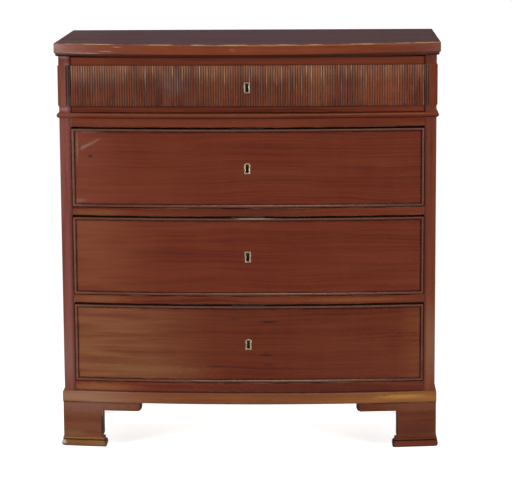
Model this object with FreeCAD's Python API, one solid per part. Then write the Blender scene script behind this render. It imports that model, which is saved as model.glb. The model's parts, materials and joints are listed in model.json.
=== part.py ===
"""A mahogany chest of drawers with a bowed front: a fluted frieze drawer over three long drawers.

Millimetres. +Z is up, the front faces -Y, and the origin is on the floor at the middle of the plan.
"""

import FreeCAD, Part
import math
import os

V = FreeCAD.Vector

# Case and top, seen from above
CASE_WIDTH = 1040.0
CASE_DEPTH = 455.0
CASE_BOW = 36.0
TOP_BOW = 80.0
FRIEZE_BOW = 22.0
FRIEZE_SETBACK = 2.0
TOP_SIDE_OVERHANG = 10.0
TOP_FRONT_OVERHANG = 14.0
TOP_BACK_OVERHANG = 6.0
TOP_EDGE_ROUND = 2.5

# Heights, from the floor up
PAD_HEIGHT = 27.0
BRACKET_HEIGHT = 102.0
BASE_HEIGHT = 31.0
BOTTOM_RAIL_SHOWN = 29.0
LONG_OPENING = 224.0
RAIL_THICK = 23.0
WAIST_RAIL_SHOWN = 24.0
WAIST_HEIGHT = 15.0
FRIEZE_OPENING = 156.5
BED_HEIGHT = 8.5
TOP_THICK = 28.0

# Carcass boards
POST_WIDTH = 32.5
POST_DEPTH = 40.0
SIDE_THICK = 20.0
BACK_THICK = 12.0
BACK_REBATE = 8.0
BACK_BOARDS = 4
BACK_BOARD_GAP = 0.8
RAIL_DEPTH = 70.0
BOTTOM_THICK = 18.0
BACK_RAIL_THICK = 15.0
BACK_RAIL_HEIGHT = 40.0
RUNNER_WIDTH = 45.0
RUNNER_THICK = 20.0
GUIDE_HEIGHT = 15.0
STOP_LENGTH = 40.0
STOP_DEPTH = 15.0
STOP_HEIGHT = 6.0
STOP_FROM_MIDDLE = 300.0
NAIL_RADIUS = 1.2
NAIL_HEAD_RADIUS = 3.0
NAIL_HEAD_THICK = 1.0
NAIL_LENGTH = 26.0
NAIL_FROM_EDGE = 40.0

# Mouldings
BED_PROJECTION = 6.5
BED_ROUND = 5.0
WAIST_PROJECTION = 6.5
BASE_PROJECTION = 5.5
BASE_ROUND = 4.0

# Feet
FOOT_WIDTH = 112.0
FOOT_REACH = 224.0
SIDE_FOOT_REACH = 170.0
REAR_FOOT_WIDTH = 70.0
BRACKET_THICK = 20.0
BRACKET_TONGUE = 24.0
BRACKET_ROUND = 14.0
BRACKET_INSET = 1.0
PAD_FLARE = 5.5
PAD_INNER_FLARE = 11.0
PAD_ROUND = 8.5
PAD_STEP_HEIGHT = 7.0
PAD_STEP_FLARE = 2.5
PAD_STEP_INNER_FLARE = 5.0
PAD_STRIP = 32.0
BLOCK_SIZE = 45.0
BLOCK_INSET = 1.0

# Flutes
FLUTE_PITCH = 6.8
FLUTE_WIDTH = 5.2
FLUTE_DEPTH = 1.9
FLUTED_PANEL_THICK = 4.0
FLUTED_BAND_BELOW = 19.0
FLUTED_BAND_ABOVE = 26.5
FLUTED_END_GAP = 1.0
BLOCK_FLUTES = 2
BLOCK_PROUD = 3.0
BLOCK_SIDE_PROUD = 2.2

# Drawers
FRONT_THICK = 22.0
FRONT_SIDE_GAP = 0.9
FRONT_TOP_GAP = 4.5
FRONT_BOTTOM_GAP = 1.5
RUNNING_GAP = 0.3
DRAWER_SIDE_THICK = 12.0
DRAWER_BACK_THICK = 12.0
DRAWER_BOTTOM_THICK = 7.0
DRAWER_BOTTOM_RAISE = 9.0
GROOVE_DEPTH = 6.0
SIDE_DROP = 4.0
BACK_DROP = 10.0
DRAWER_END_GAP = 8.5
DOVETAIL_LAP = 8.0
DOVETAIL_PITCH = 46.0
DOVETAIL_PIN = 9.0
DOVETAIL_SLOPE = 0.16
BEAD_WIDTH = 7.0
BEAD_DEPTH = 6.0
BEAD_PROUD = 3.5
QUIRK_WIDTH = 2.0
QUIRK_DEPTH = 1.5

# Locks and escutcheons
KEYHOLE_DROP_IN_FRIEZE = 7.5
KEYHOLE_RADIUS = 4.2
KEYHOLE_SLOT_HALF = 3.4
KEYHOLE_FOOT_HALF = 3.8
KEYHOLE_LENGTH = 22.0
ESCUTCHEON_RIM = 4.0
ESCUTCHEON_DEPTH = 2.5
ESCUTCHEON_PROUD = 0.6
LOCK_WIDTH = 70.0
LOCK_DEPTH = 12.0
LOCK_WALL = 2.0
LOCK_BELOW_KEYHOLE = 30.0
SELVEDGE_WIDTH = 92.0
SELVEDGE_DEPTH = 14.0
SELVEDGE_THICK = 2.5
DRILL_PIN_RADIUS = 1.8
BOLT_WIDTH = 22.0
BOLT_DEPTH = 7.0
BOLT_TRAVEL = 10.0
BOLT_GAP = 0.5
BOLT_TAIL_WIDTH = 52.0
BOLT_TAIL_THICK = 4.0
BOLT_OVER_KEYHOLE = 10.0
MORTISE_GAP = 2.0
MORTISE_SPARE_DEPTH = 3.0

# Places worked out from the sizes above
CASE_HALF = CASE_WIDTH / 2
OPENING_HALF = CASE_HALF - POST_WIDTH
SIDE_INNER = CASE_HALF - SIDE_THICK
TOP_HALF = CASE_HALF + TOP_SIDE_OVERHANG
TOP_END_DEPTH = TOP_FRONT_OVERHANG + CASE_DEPTH + TOP_BACK_OVERHANG
TOP_BACK_Y = (TOP_END_DEPTH + TOP_BOW) / 2
TOP_END_Y = TOP_BACK_Y - TOP_END_DEPTH
CASE_BACK_Y = TOP_BACK_Y - TOP_BACK_OVERHANG
CASE_FRONT_Y = CASE_BACK_Y - CASE_DEPTH
POST_BACK_Y = CASE_FRONT_Y + POST_DEPTH
RAIL_BACK_Y = CASE_FRONT_Y + RAIL_DEPTH
BACK_FACE_Y = CASE_BACK_Y - BACK_THICK
DRAWER_END_Y = BACK_FACE_Y - BACK_RAIL_THICK - DRAWER_END_GAP
DRAWER_HALF = OPENING_HALF - FRONT_SIDE_GAP

CASE_Z = PAD_HEIGHT + BRACKET_HEIGHT
BASE_TOP_Z = CASE_Z + BASE_HEIGHT
LOWER_Z = BASE_TOP_Z + BOTTOM_RAIL_SHOWN
MIDDLE_Z = LOWER_Z + LONG_OPENING + RAIL_THICK
UPPER_Z = MIDDLE_Z + LONG_OPENING + RAIL_THICK
WAIST_RAIL_Z = UPPER_Z + LONG_OPENING
WAIST_Z = WAIST_RAIL_Z + WAIST_RAIL_SHOWN
FRIEZE_Z = WAIST_Z + WAIST_HEIGHT
BED_Z = FRIEZE_Z + FRIEZE_OPENING
TOP_Z = BED_Z + BED_HEIGHT
BOTTOM_BOARD_TOP_Z = LOWER_Z - RUNNER_THICK
FLUTED_LOW_Z = FRIEZE_Z + FLUTED_BAND_BELOW
FLUTED_HIGH_Z = BED_Z - FLUTED_BAND_ABOVE
BRACKET_PROJECTION = BASE_PROJECTION - BRACKET_INSET
FAR = 4000.0


# Plain helpers

def box(x0, x1, y0, y1, z0, z1):
    return Part.makeBox(x1 - x0, y1 - y0, z1 - z0, V(x0, y0, z0))


def edges_through(place, start, steps):
    """Edges from start: a step of two numbers is a line, and of four an arc by way of its first two."""
    edges = []
    here = start
    for step in steps:
        end = step[-2:]
        if len(step) == 2:
            edges.append(Part.LineSegment(place(*here), place(*end)).toShape())
        else:
            edges.append(Part.Arc(place(*here), place(*step[:2]), place(*end)).toShape())
        here = end
    return edges


def face_through(place, start, steps):
    return Part.Face(Part.Wire(edges_through(place, start, [*steps, start])))


def plan_prism(points, z0, z1):
    face = face_through(lambda x, y: V(x, y, z0), points[0], points[1:])
    return face.extrude(V(0, 0, z1 - z0))


def front_prism(start, steps, y0, y1):
    """A shape drawn as seen from the front, in x and z, and pushed back from y0 to y1."""
    return face_through(lambda x, z: V(x, y0, z), start, steps).extrude(V(0, y1 - y0, 0))


def side_prism(points, x0, x1):
    face = face_through(lambda y, z: V(x0, y, z), points[0], points[1:])
    return face.extrude(V(x1 - x0, 0, 0))


def mirrored(shape):
    return shape.mirror(V(0, 0, 0), V(1, 0, 0))


def both_sides(shape):
    return [mirrored(shape), shape]


def rounded(shape, radius, wanted):
    """The shape with the edges that wanted(edge) picks rounded off."""
    return shape.makeFillet(radius, [edge for edge in shape.Edges if wanted(edge)])


class Bow:
    """A shallow arc in plan, through both front corners, which stands out by rise at the middle."""

    def __init__(self, half, end_y, rise):
        self.half = half
        self.end_y = end_y
        self.radius = (half ** 2 + rise ** 2) / (2 * rise)
        self.centre_y = end_y - rise + self.radius

    def y(self, x, back=0.0):
        return self.centre_y - math.sqrt((self.radius - back) ** 2 - x ** 2)

    def middle_y(self, back=0.0):
        return self.y(0.0, back)

    def arc(self, x0, x1, z, back=0.0):
        points = [V(x, self.y(x, back), z) for x in (x0, (x0 + x1) / 2, x1)]
        return Part.Arc(*points).toShape()

    def line(self, x0, y0, x1, y1, z):
        return Part.LineSegment(V(x0, y0, z), V(x1, y1, z)).toShape()

    def slab(self, x0, x1, y_back, z0, z1, back=0.0):
        """A board with a bowed front and a straight back edge."""
        y0, y1 = self.y(x0, back), self.y(x1, back)
        edges = [
            self.arc(x0, x1, z0, back),
            self.line(x1, y1, x1, y_back, z0),
            self.line(x1, y_back, x0, y_back, z0),
            self.line(x0, y_back, x0, y0, z0),
        ]
        return Part.Face(Part.Wire(edges)).extrude(V(0, 0, z1 - z0))

    def board(self, x0, x1, front, back, z0, z1):
        """A board bowed on both faces, from front to back behind the arc."""
        edges = [
            self.arc(x0, x1, z0, front),
            self.line(x1, self.y(x1, front), x1, self.y(x1, back), z0),
            self.arc(x1, x0, z0, back),
            self.line(x0, self.y(x0, back), x0, self.y(x0, front), z0),
        ]
        return Part.Face(Part.Wire(edges)).extrude(V(0, 0, z1 - z0))

    def lean(self, x):
        """How far the arc's outward normal turns towards x, in radians."""
        return math.asin(x / self.radius)

    def moulding(self, start, steps, reach):
        """A section of (outwards, z) run along the arc to reach on both sides of the middle."""
        edges = edges_through(lambda out, z: V(0, self.middle_y() - out, z), start, [*steps, start])
        curved = [len(step) == 4 for step in [*steps, start]]
        edges = [edge.toNurbs().Edges[0] if bent else edge for edge, bent in zip(edges, curved)]
        face = Part.Face(Part.Wire(edges))
        axis = V(0, self.centre_y, 0)
        turn = math.degrees(self.lean(reach))
        face.rotate(axis, V(0, 0, 1), -turn)
        return face.revolve(axis, V(0, 0, 1), 2 * turn)

    def mitre_slope(self):
        """How far the corner's mitre runs forwards for each step sideways."""
        lean = self.lean(self.half)
        return (1 - math.sin(lean)) / math.cos(lean)

    def mitre_front(self, inside, outside, z0, z1):
        """The space in front of both corner mitres."""
        slope = self.mitre_slope()
        inner, outer = self.half - inside, self.half + outside
        y_inner, y_outer = self.end_y + inside * slope, self.end_y - outside * slope
        y_front = self.middle_y(-2 * outside)
        points = [(-inner, y_inner), (inner, y_inner), (outer, y_outer), (outer, y_front),
                  (-outer, y_front), (-outer, y_outer)]
        return plan_prism(points, z0, z1)

    def mitre_side(self, inside, outside, y_back, z0, z1):
        """The space behind the right corner's mitre."""
        slope = self.mitre_slope()
        inner, outer = self.half - inside, self.half + outside
        y_inner, y_outer = self.end_y + inside * slope, self.end_y - outside * slope
        points = [(inner, y_inner), (outer, y_outer), (outer, y_back), (inner, y_back)]
        return plan_prism(points, z0, z1)


case_bow = Bow(CASE_HALF, CASE_FRONT_Y, CASE_BOW)
top_bow = Bow(TOP_HALF, TOP_END_Y, TOP_BOW)
frieze_bow = Bow(CASE_HALF, CASE_FRONT_Y + FRIEZE_SETBACK, FRIEZE_BOW)
MITRE_REACH = BRACKET_THICK + BASE_PROJECTION


def section_round_the_case(start, steps):
    """A moulding's section run along the bowed front and both sides, mitred at the front corners."""
    inside, outside = MITRE_REACH, MITRE_REACH
    front = case_bow.moulding(start, steps, CASE_HALF + outside)
    front = front.common(case_bow.mitre_front(inside, outside, 0, TOP_Z))
    y_start = CASE_FRONT_Y - outside
    side = face_through(lambda out, z: V(CASE_HALF + out, y_start, z), start, steps)
    side = side.extrude(V(0, CASE_BACK_Y - y_start, 0))
    side = side.common(case_bow.mitre_side(inside, outside, CASE_BACK_Y, 0, TOP_Z))
    return [front, *both_sides(side)]


# Top and bed moulding

def top_board():
    slab = top_bow.slab(-TOP_HALF, TOP_HALF, TOP_BACK_Y, TOP_Z, TOP_Z + TOP_THICK)

    def shown_edge(edge):
        flat = abs(edge.BoundBox.ZLength) < 1e-6
        return flat and edge.BoundBox.YMin < TOP_BACK_Y - 1
    return rounded(slab, TOP_EDGE_ROUND, shown_edge)


def bed_moulding():
    """The fillet under the top: a wide strip over the frieze drawer and a narrow one along each side."""
    half = CASE_HALF + BED_PROJECTION
    back = TOP_HALF - half
    front = top_bow.slab(-half, half, POST_BACK_Y, BED_Z, TOP_Z, back)

    def lower_edge(edge):
        return edge.BoundBox.ZMax < BED_Z + 1e-6 and edge.BoundBox.YMin < POST_BACK_Y - 1
    front = rounded(front, BED_ROUND, lower_edge)
    front = front.cut(bolt_mortise(frieze_bow, BED_Z, TOP_Z))
    side = box(CASE_HALF, half, POST_BACK_Y, CASE_BACK_Y, BED_Z, TOP_Z)

    def side_lower_edge(edge):
        bounds = edge.BoundBox
        return bounds.ZMax < BED_Z + 1e-6 and bounds.XMin > half - 1e-6
    side = rounded(side, BED_ROUND, side_lower_edge)
    return [front, *both_sides(side)]


# Carcass

def corner_post():
    return case_bow.slab(OPENING_HALF, CASE_HALF, POST_BACK_Y, CASE_Z, BED_Z)


def side_panel():
    board = box(SIDE_INNER, CASE_HALF, POST_BACK_Y, CASE_BACK_Y, CASE_Z, TOP_Z)
    rebate = box(0, SIDE_INNER + BACK_REBATE, BACK_FACE_Y, CASE_BACK_Y, CASE_Z, TOP_Z)
    return board.cut(rebate)


def bolt_mortise(bow, z0, z1):
    """The socket in the wood above a drawer that takes the head of its lock's bolt."""
    half = BOLT_WIDTH / 2 + MORTISE_GAP
    y = bolt_middle_y(bow)
    reach = BOLT_DEPTH / 2 + MORTISE_GAP
    return box(-half, half, y - reach, y + reach, z0, z1)


def rail(z0, z1):
    board = case_bow.slab(-OPENING_HALF, OPENING_HALF, RAIL_BACK_Y, z0, z1)
    depth = BOLT_TRAVEL - FRONT_TOP_GAP + MORTISE_SPARE_DEPTH
    return board.cut(bolt_mortise(case_bow, z0, z0 + depth))


def bottom_rail():
    return case_bow.slab(-OPENING_HALF, OPENING_HALF, RAIL_BACK_Y, CASE_Z, LOWER_Z)


def bottom_board():
    low = BOTTOM_BOARD_TOP_Z - BOTTOM_THICK
    board = box(-SIDE_INNER, SIDE_INNER, RAIL_BACK_Y, BACK_FACE_Y, low, BOTTOM_BOARD_TOP_Z)
    return board


def top_back_rail():
    y0 = BACK_FACE_Y - BACK_RAIL_THICK
    return box(-SIDE_INNER, SIDE_INNER, y0, BACK_FACE_Y, TOP_Z - BACK_RAIL_HEIGHT, TOP_Z)


def back_boards():
    half = SIDE_INNER + BACK_REBATE
    pitch = 2 * half / BACK_BOARDS
    boards = []
    for number in range(BACK_BOARDS):
        x0 = -half + number * pitch + BACK_BOARD_GAP / 2
        x1 = x0 + pitch - BACK_BOARD_GAP
        boards.append(box(x0, x1, BACK_FACE_Y, CASE_BACK_Y, CASE_Z, TOP_Z))
    return boards


def back_nails():
    half = SIDE_INNER + BACK_REBATE
    pitch = 2 * half / BACK_BOARDS
    heights = (BOTTOM_BOARD_TOP_Z - BOTTOM_THICK / 2, TOP_Z - BACK_RAIL_HEIGHT / 2)
    nails = []
    for number in range(BACK_BOARDS):
        middle = -half + (number + 0.5) * pitch
        for x in (middle - pitch / 2 + NAIL_FROM_EDGE, middle + pitch / 2 - NAIL_FROM_EDGE):
            for z in heights:
                start = V(x, CASE_BACK_Y, z)
                shank = Part.makeCylinder(NAIL_RADIUS, NAIL_LENGTH, start, V(0, -1, 0))
                head = Part.makeCylinder(NAIL_HEAD_RADIUS, NAIL_HEAD_THICK, start, V(0, -1, 0))
                nails.append(shank.fuse(head).removeSplitter())
    return nails


def drawer_runners():
    x0 = SIDE_INNER - RUNNER_WIDTH
    runners = []
    for z in (LOWER_Z, MIDDLE_Z, UPPER_Z, FRIEZE_Z):
        runner = box(x0, SIDE_INNER, RAIL_BACK_Y, BACK_FACE_Y, z - RUNNER_THICK, z)
        runners += both_sides(runner)
    return runners


def drawer_guides():
    """Strips on the runners that fill the step behind the posts and keep each drawer straight."""
    guides = []
    for z in (LOWER_Z, MIDDLE_Z, UPPER_Z, FRIEZE_Z):
        guide = box(OPENING_HALF, SIDE_INNER, RAIL_BACK_Y, BACK_FACE_Y, z, z + GUIDE_HEIGHT)
        guides += both_sides(guide)
    return guides


def top_kickers():
    """Strips under the top that stop the frieze drawer from tipping as it comes out."""
    x0 = SIDE_INNER - RUNNER_WIDTH
    low = BED_Z - FRONT_TOP_GAP - SIDE_DROP + RUNNING_GAP
    y1 = BACK_FACE_Y - BACK_RAIL_THICK
    return both_sides(box(x0, SIDE_INNER, POST_BACK_Y, y1, low, TOP_Z))


def drawer_stops():
    stops = []
    for z, bow in ((LOWER_Z, case_bow), (MIDDLE_Z, case_bow), (UPPER_Z, case_bow), (FRIEZE_Z, frieze_bow)):
        x1 = STOP_FROM_MIDDLE + STOP_LENGTH / 2
        y0 = bow.y(x1, FRONT_THICK) + RUNNING_GAP
        stop = box(x1 - STOP_LENGTH, x1, y0, y0 + STOP_DEPTH, z, z + STOP_HEIGHT)
        stops += both_sides(stop)
    return stops


def waist_moulding():
    return section_round_the_case(
        (0, WAIST_Z),
        [(WAIST_PROJECTION, WAIST_Z + WAIST_HEIGHT / 2, 0, WAIST_Z + WAIST_HEIGHT)])


def base_moulding():
    reach, low, high = BASE_PROJECTION, CASE_Z, BASE_TOP_Z
    bend = BASE_ROUND * (1 - math.sqrt(0.5))
    return section_round_the_case((0, low), [
        (reach, low),
        (reach, high - BASE_ROUND),
        (reach - bend, high - bend, reach - BASE_ROUND, high),
        (0, high)])


# Fluted frieze blocks on the posts

def flute_radius():
    half = FLUTE_WIDTH / 2
    return (half ** 2 + FLUTE_DEPTH ** 2) / (2 * FLUTE_DEPTH)


def frieze_block(post):
    """A thin fluted facing that wraps the front and outer side of the right corner post."""
    x1 = CASE_HALF + BLOCK_SIDE_PROUD
    facing = case_bow.slab(OPENING_HALF, x1, POST_BACK_Y, FLUTED_LOW_Z, FLUTED_HIGH_Z, -BLOCK_PROUD)
    facing = facing.cut(post)
    radius = flute_radius()
    fillet = (FLUTE_PITCH - FLUTE_WIDTH) / 2
    for number in range(BLOCK_FLUTES):
        x = OPENING_HALF + fillet + FLUTE_WIDTH / 2 + number * FLUTE_PITCH
        y = case_bow.y(x, -BLOCK_PROUD) - (radius - FLUTE_DEPTH)
        start = V(x, y, FLUTED_LOW_Z)
        facing = facing.cut(Part.makeCylinder(radius, FLUTED_HIGH_Z - FLUTED_LOW_Z, start))
    return facing


# Feet

def bracket_outline(x0, x1, reach_x):
    """A foot of x0 to x1 with a tongue on to reach_x under the base moulding, seen square on."""
    low, high = PAD_HEIGHT, CASE_Z
    tongue = high - BRACKET_TONGUE
    bend = BRACKET_ROUND * (1 - math.sqrt(0.5))
    return (x0, high), [
        (x0, low),
        (x1, low),
        (x1, tongue),
        (reach_x - BRACKET_ROUND, tongue),
        (reach_x - bend, tongue + bend, reach_x, tongue + BRACKET_ROUND),
        (reach_x, high)]


def front_bracket_left():
    outer = CASE_HALF + MITRE_REACH
    board = case_bow.board(-outer, outer, -BRACKET_PROJECTION, BRACKET_THICK - BRACKET_PROJECTION,
                           PAD_HEIGHT, CASE_Z)
    edge = -(CASE_HALF + BRACKET_PROJECTION)
    start, steps = bracket_outline(-outer, edge + FOOT_WIDTH, edge + FOOT_REACH)
    shape = board.common(front_prism(start, steps, -FAR / 2, FAR / 2))
    return shape.common(case_bow.mitre_front(MITRE_REACH, MITRE_REACH, PAD_HEIGHT, CASE_Z))


def side_bracket_front():
    """The right side's front bracket, mitred to the front one."""
    x1 = CASE_HALF + BRACKET_PROJECTION
    y0 = CASE_FRONT_Y - MITRE_REACH
    edge = CASE_FRONT_Y - BRACKET_PROJECTION
    start, steps = bracket_outline(y0, edge + FOOT_WIDTH, edge + SIDE_FOOT_REACH)
    shape = face_through(lambda y, z: V(x1 - BRACKET_THICK, y, z), start, steps)
    shape = shape.extrude(V(BRACKET_THICK, 0, 0))
    return shape.common(case_bow.mitre_side(MITRE_REACH, MITRE_REACH, CASE_BACK_Y, PAD_HEIGHT, CASE_Z))


def side_bracket_rear():
    x1 = CASE_HALF + BRACKET_PROJECTION
    start, steps = bracket_outline(-CASE_BACK_Y, -CASE_BACK_Y + FOOT_WIDTH, -CASE_BACK_Y + SIDE_FOOT_REACH)
    shape = face_through(lambda y, z: V(x1 - BRACKET_THICK, -y, z), start, steps)
    return shape.extrude(V(BRACKET_THICK, 0, 0))


def rear_bracket():
    """The plain board behind a rear foot, inside the side bracket."""
    x1 = CASE_HALF + BRACKET_PROJECTION - BRACKET_THICK
    x0 = x1 - (REAR_FOOT_WIDTH - BRACKET_THICK)
    return box(x0, x1, CASE_BACK_Y - BRACKET_THICK, CASE_BACK_Y, PAD_HEIGHT, CASE_Z)


def pad(flare, inner_flare, z0, z1, round_off, rear):
    """One layer of a right foot's moulded pad, which flares most at a front foot's inner end."""
    x1 = CASE_HALF + BRACKET_PROJECTION + flare
    if rear:
        x0 = CASE_HALF + BRACKET_PROJECTION - REAR_FOOT_WIDTH - flare
        layer = box(x0, x1, CASE_BACK_Y - FOOT_WIDTH - flare, CASE_BACK_Y, z0, z1)
    else:
        x0 = CASE_HALF + BRACKET_PROJECTION - FOOT_WIDTH - inner_flare
        y_back = CASE_FRONT_Y - BRACKET_PROJECTION + FOOT_WIDTH + flare
        layer = case_bow.slab(x0, x1, y_back, z0, z1, -BRACKET_PROJECTION - flare)

    def level_edge(edge):
        on_back = edge.BoundBox.YMin > CASE_BACK_Y - 1e-6
        return edge.BoundBox.ZLength < 1e-6 and not on_back
    return rounded(layer, round_off, level_edge)


def foot_pad(rear):
    """The pad under a right foot. A front one is a strip that turns the corner under both brackets."""
    step_z = PAD_HEIGHT - PAD_STEP_HEIGHT
    roll = pad(PAD_FLARE, PAD_INNER_FLARE, 0, step_z, PAD_ROUND, rear)
    step_round = PAD_STEP_HEIGHT * 0.45
    step = pad(PAD_STEP_FLARE, PAD_STEP_INNER_FLARE, step_z, PAD_HEIGHT, step_round, rear)
    whole = roll.fuse(step).removeSplitter()
    if rear:
        return whole
    x1 = CASE_HALF + BRACKET_PROJECTION
    y0 = case_bow.y(x1 - FOOT_WIDTH, PAD_STRIP - BRACKET_PROJECTION)
    return whole.cut(box(-FAR / 2, x1 - PAD_STRIP, y0, FAR / 2, 0, PAD_HEIGHT))


def foot_block_front():
    """The block that backs a right front foot over its whole width."""
    x0 = CASE_HALF + BRACKET_PROJECTION - FOOT_WIDTH + BLOCK_INSET
    x1 = CASE_HALF + BRACKET_PROJECTION - BRACKET_THICK
    y0 = case_bow.y(x0, BRACKET_THICK - BRACKET_PROJECTION)
    block = box(x0, x1, y0, y0 + BLOCK_SIZE, PAD_HEIGHT, CASE_Z)
    outer = CASE_HALF + MITRE_REACH
    wood = case_bow.board(-outer, outer, -FAR / 40, BRACKET_THICK - BRACKET_PROJECTION, PAD_HEIGHT, CASE_Z)
    return block.cut(wood)


def foot_block_rear():
    x1 = CASE_HALF + BRACKET_PROJECTION - BRACKET_THICK
    y1 = CASE_BACK_Y - BRACKET_THICK
    return box(x1 - BLOCK_SIZE, x1, y1 - BLOCK_SIZE, y1, PAD_HEIGHT, CASE_Z)


# Drawers

class Drawer:
    """The places that one drawer's pieces share."""

    def __init__(self, bow, low, opening, key_drop=0.0):
        self.bow = bow
        self.low = low
        self.front_low = low + FRONT_BOTTOM_GAP
        self.front_high = low + opening - FRONT_TOP_GAP
        self.side_low = low + RUNNING_GAP
        self.side_high = self.front_high - SIDE_DROP
        self.bottom_low = self.side_low + DRAWER_BOTTOM_RAISE
        self.bottom_high = self.bottom_low + DRAWER_BOTTOM_THICK
        self.key_z = (self.front_low + self.front_high) / 2 - key_drop
        self.face_y = bow.middle_y()
        self.inner_y = bow.middle_y(FRONT_THICK)


def tail_points(y_root, y_tip, z0, z1):
    """The dovetails on the end of a drawer side, from z0 up to z1."""
    count = max(2, round((z1 - z0) / DOVETAIL_PITCH))
    pitch = (z1 - z0) / count
    tip = (pitch - DOVETAIL_PIN) / 2
    root = tip - abs(y_tip - y_root) * DOVETAIL_SLOPE
    points = []
    for number in range(count):
        z = z0 + (number + 0.5) * pitch
        points += [(y_root, z - root), (y_tip, z - tip), (y_tip, z + tip), (y_root, z + root)]
    return points


def drawer_side(drawer):
    """The right side, with lapped tails for the front and through tails for the back."""
    x0 = DRAWER_HALF - DRAWER_SIDE_THICK
    front_root = drawer.bow.y(x0, FRONT_THICK)
    front_tip = drawer.bow.y(DRAWER_HALF, DOVETAIL_LAP)
    back_root = DRAWER_END_Y - DRAWER_BACK_THICK
    back_high = drawer.side_high - BACK_DROP
    rising = tail_points(front_root, front_tip, drawer.front_low, drawer.side_high)
    falling = tail_points(back_root, DRAWER_END_Y, drawer.bottom_high, back_high)[::-1]
    outline = [
        (front_root, drawer.side_low),
        *rising,
        (front_root, drawer.side_high),
        (DRAWER_END_Y, drawer.side_high),
        (DRAWER_END_Y, back_high),
        (back_root, back_high),
        *falling,
        (back_root, drawer.bottom_high),
        (DRAWER_END_Y, drawer.bottom_high),
        (DRAWER_END_Y, drawer.side_low)]
    return side_prism(outline, x0, DRAWER_HALF)


def drawer_bottom(drawer):
    half = DRAWER_HALF - DRAWER_SIDE_THICK + GROOVE_DEPTH
    return drawer.bow.slab(-half, half, DRAWER_END_Y, drawer.bottom_low, drawer.bottom_high,
                           FRONT_THICK - GROOVE_DEPTH)


def drawer_back(drawer, sides):
    board = box(-DRAWER_HALF, DRAWER_HALF, DRAWER_END_Y - DRAWER_BACK_THICK, DRAWER_END_Y,
                drawer.bottom_high, drawer.side_high - BACK_DROP)
    return board.cut(sides)


def bead_strips(drawer):
    """The four mitred strips of rounded bead let in round a drawer front."""
    bow, low, high = drawer.bow, drawer.front_low, drawer.front_high
    half, width = DRAWER_HALF, BEAD_WIDTH
    flat = BEAD_PROUD - width / 2

    def strip_outline(z):
        return (-BEAD_DEPTH, z), [
            (flat, z),
            (BEAD_PROUD, z + width / 2, flat, z + width),
            (-BEAD_DEPTH, z + width)]

    strips = []
    for z, level, inner in ((high - width, high, high - width), (low, low, low + width)):
        strip = bow.moulding(*strip_outline(z), DRAWER_HALF + width)
        mitred = front_prism(
            (-half, level), [(half, level), (half - width, inner), (width - half, inner)], -FAR / 2, FAR / 2)
        strips.append(strip.common(mitred))

    x = half - width / 2
    lean = bow.lean(x)
    along, out = V(math.cos(lean), math.sin(lean), 0), V(math.sin(lean), -math.cos(lean), 0)
    middle = V(x, bow.y(x), low)

    def upright(across, proud):
        return middle + along * across + out * proud

    section = face_through(upright, (-width / 2, -BEAD_DEPTH), [
        (-width / 2, flat),
        (0, BEAD_PROUD, width / 2, flat),
        (width, flat),
        (width, -BEAD_DEPTH)])
    mitred = front_prism(
        (half, low), [(half, high), (half - width, high - width), (half - width, low + width)],
        -FAR / 2, FAR / 2)
    upright_strip = section.extrude(V(0, 0, high - low)).common(mitred)
    return [*strips, *both_sides(upright_strip)]


def quirk(drawer):
    """The narrow groove inside the bead."""
    bow = drawer.bow
    margin = BEAD_WIDTH + QUIRK_WIDTH
    half, low, high = DRAWER_HALF, drawer.front_low, drawer.front_high
    band = bow.board(-half, half, -QUIRK_DEPTH, QUIRK_DEPTH, low, high)
    field = box(margin - half, half - margin, -FAR / 2, FAR / 2, low + margin, high - margin)
    return band.cut(field)


def keyhole_outline(key_z, grow=0.0):
    """A round-headed keyhole about key_z, made larger all round by grow."""
    radius = KEYHOLE_RADIUS + grow
    head_z = key_z + KEYHOLE_LENGTH / 2 - KEYHOLE_RADIUS
    foot_z = key_z - KEYHOLE_LENGTH / 2 - grow
    slot, foot = KEYHOLE_SLOT_HALF + grow, KEYHOLE_FOOT_HALF + grow
    join_z = head_z - math.sqrt(radius ** 2 - slot ** 2)
    return (-foot, foot_z), [
        (foot, foot_z),
        (slot, join_z),
        (0, head_z + radius, -slot, join_z)]


def escutcheon(drawer, face_y):
    """The brass thread round a keyhole, let into the wood at face_y."""
    y0, y1 = face_y - ESCUTCHEON_PROUD, face_y + ESCUTCHEON_DEPTH
    plate = front_prism(*keyhole_outline(drawer.key_z, ESCUTCHEON_RIM), y0, y1)
    return plate.cut(front_prism(*keyhole_outline(drawer.key_z), y0, y1))


def bolt_middle_y(bow):
    return bow.middle_y(FRONT_THICK) - LOCK_DEPTH / 2


def lock_space(drawer, behind=0.0):
    """A lock's case and top plate as one block, or with more behind, the pocket that they need."""
    y0, y1 = drawer.inner_y, drawer.inner_y + behind
    low = drawer.key_z - LOCK_BELOW_KEYHOLE
    half, selvedge_half = LOCK_WIDTH / 2, SELVEDGE_WIDTH / 2
    selvedge_low = drawer.front_high - SELVEDGE_THICK
    case = box(-half, half, y0 - LOCK_DEPTH, y1, low, selvedge_low)
    selvedge = box(-selvedge_half, selvedge_half, y0 - SELVEDGE_DEPTH, y1, selvedge_low, drawer.front_high)
    return case.fuse(selvedge).removeSplitter()


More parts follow.
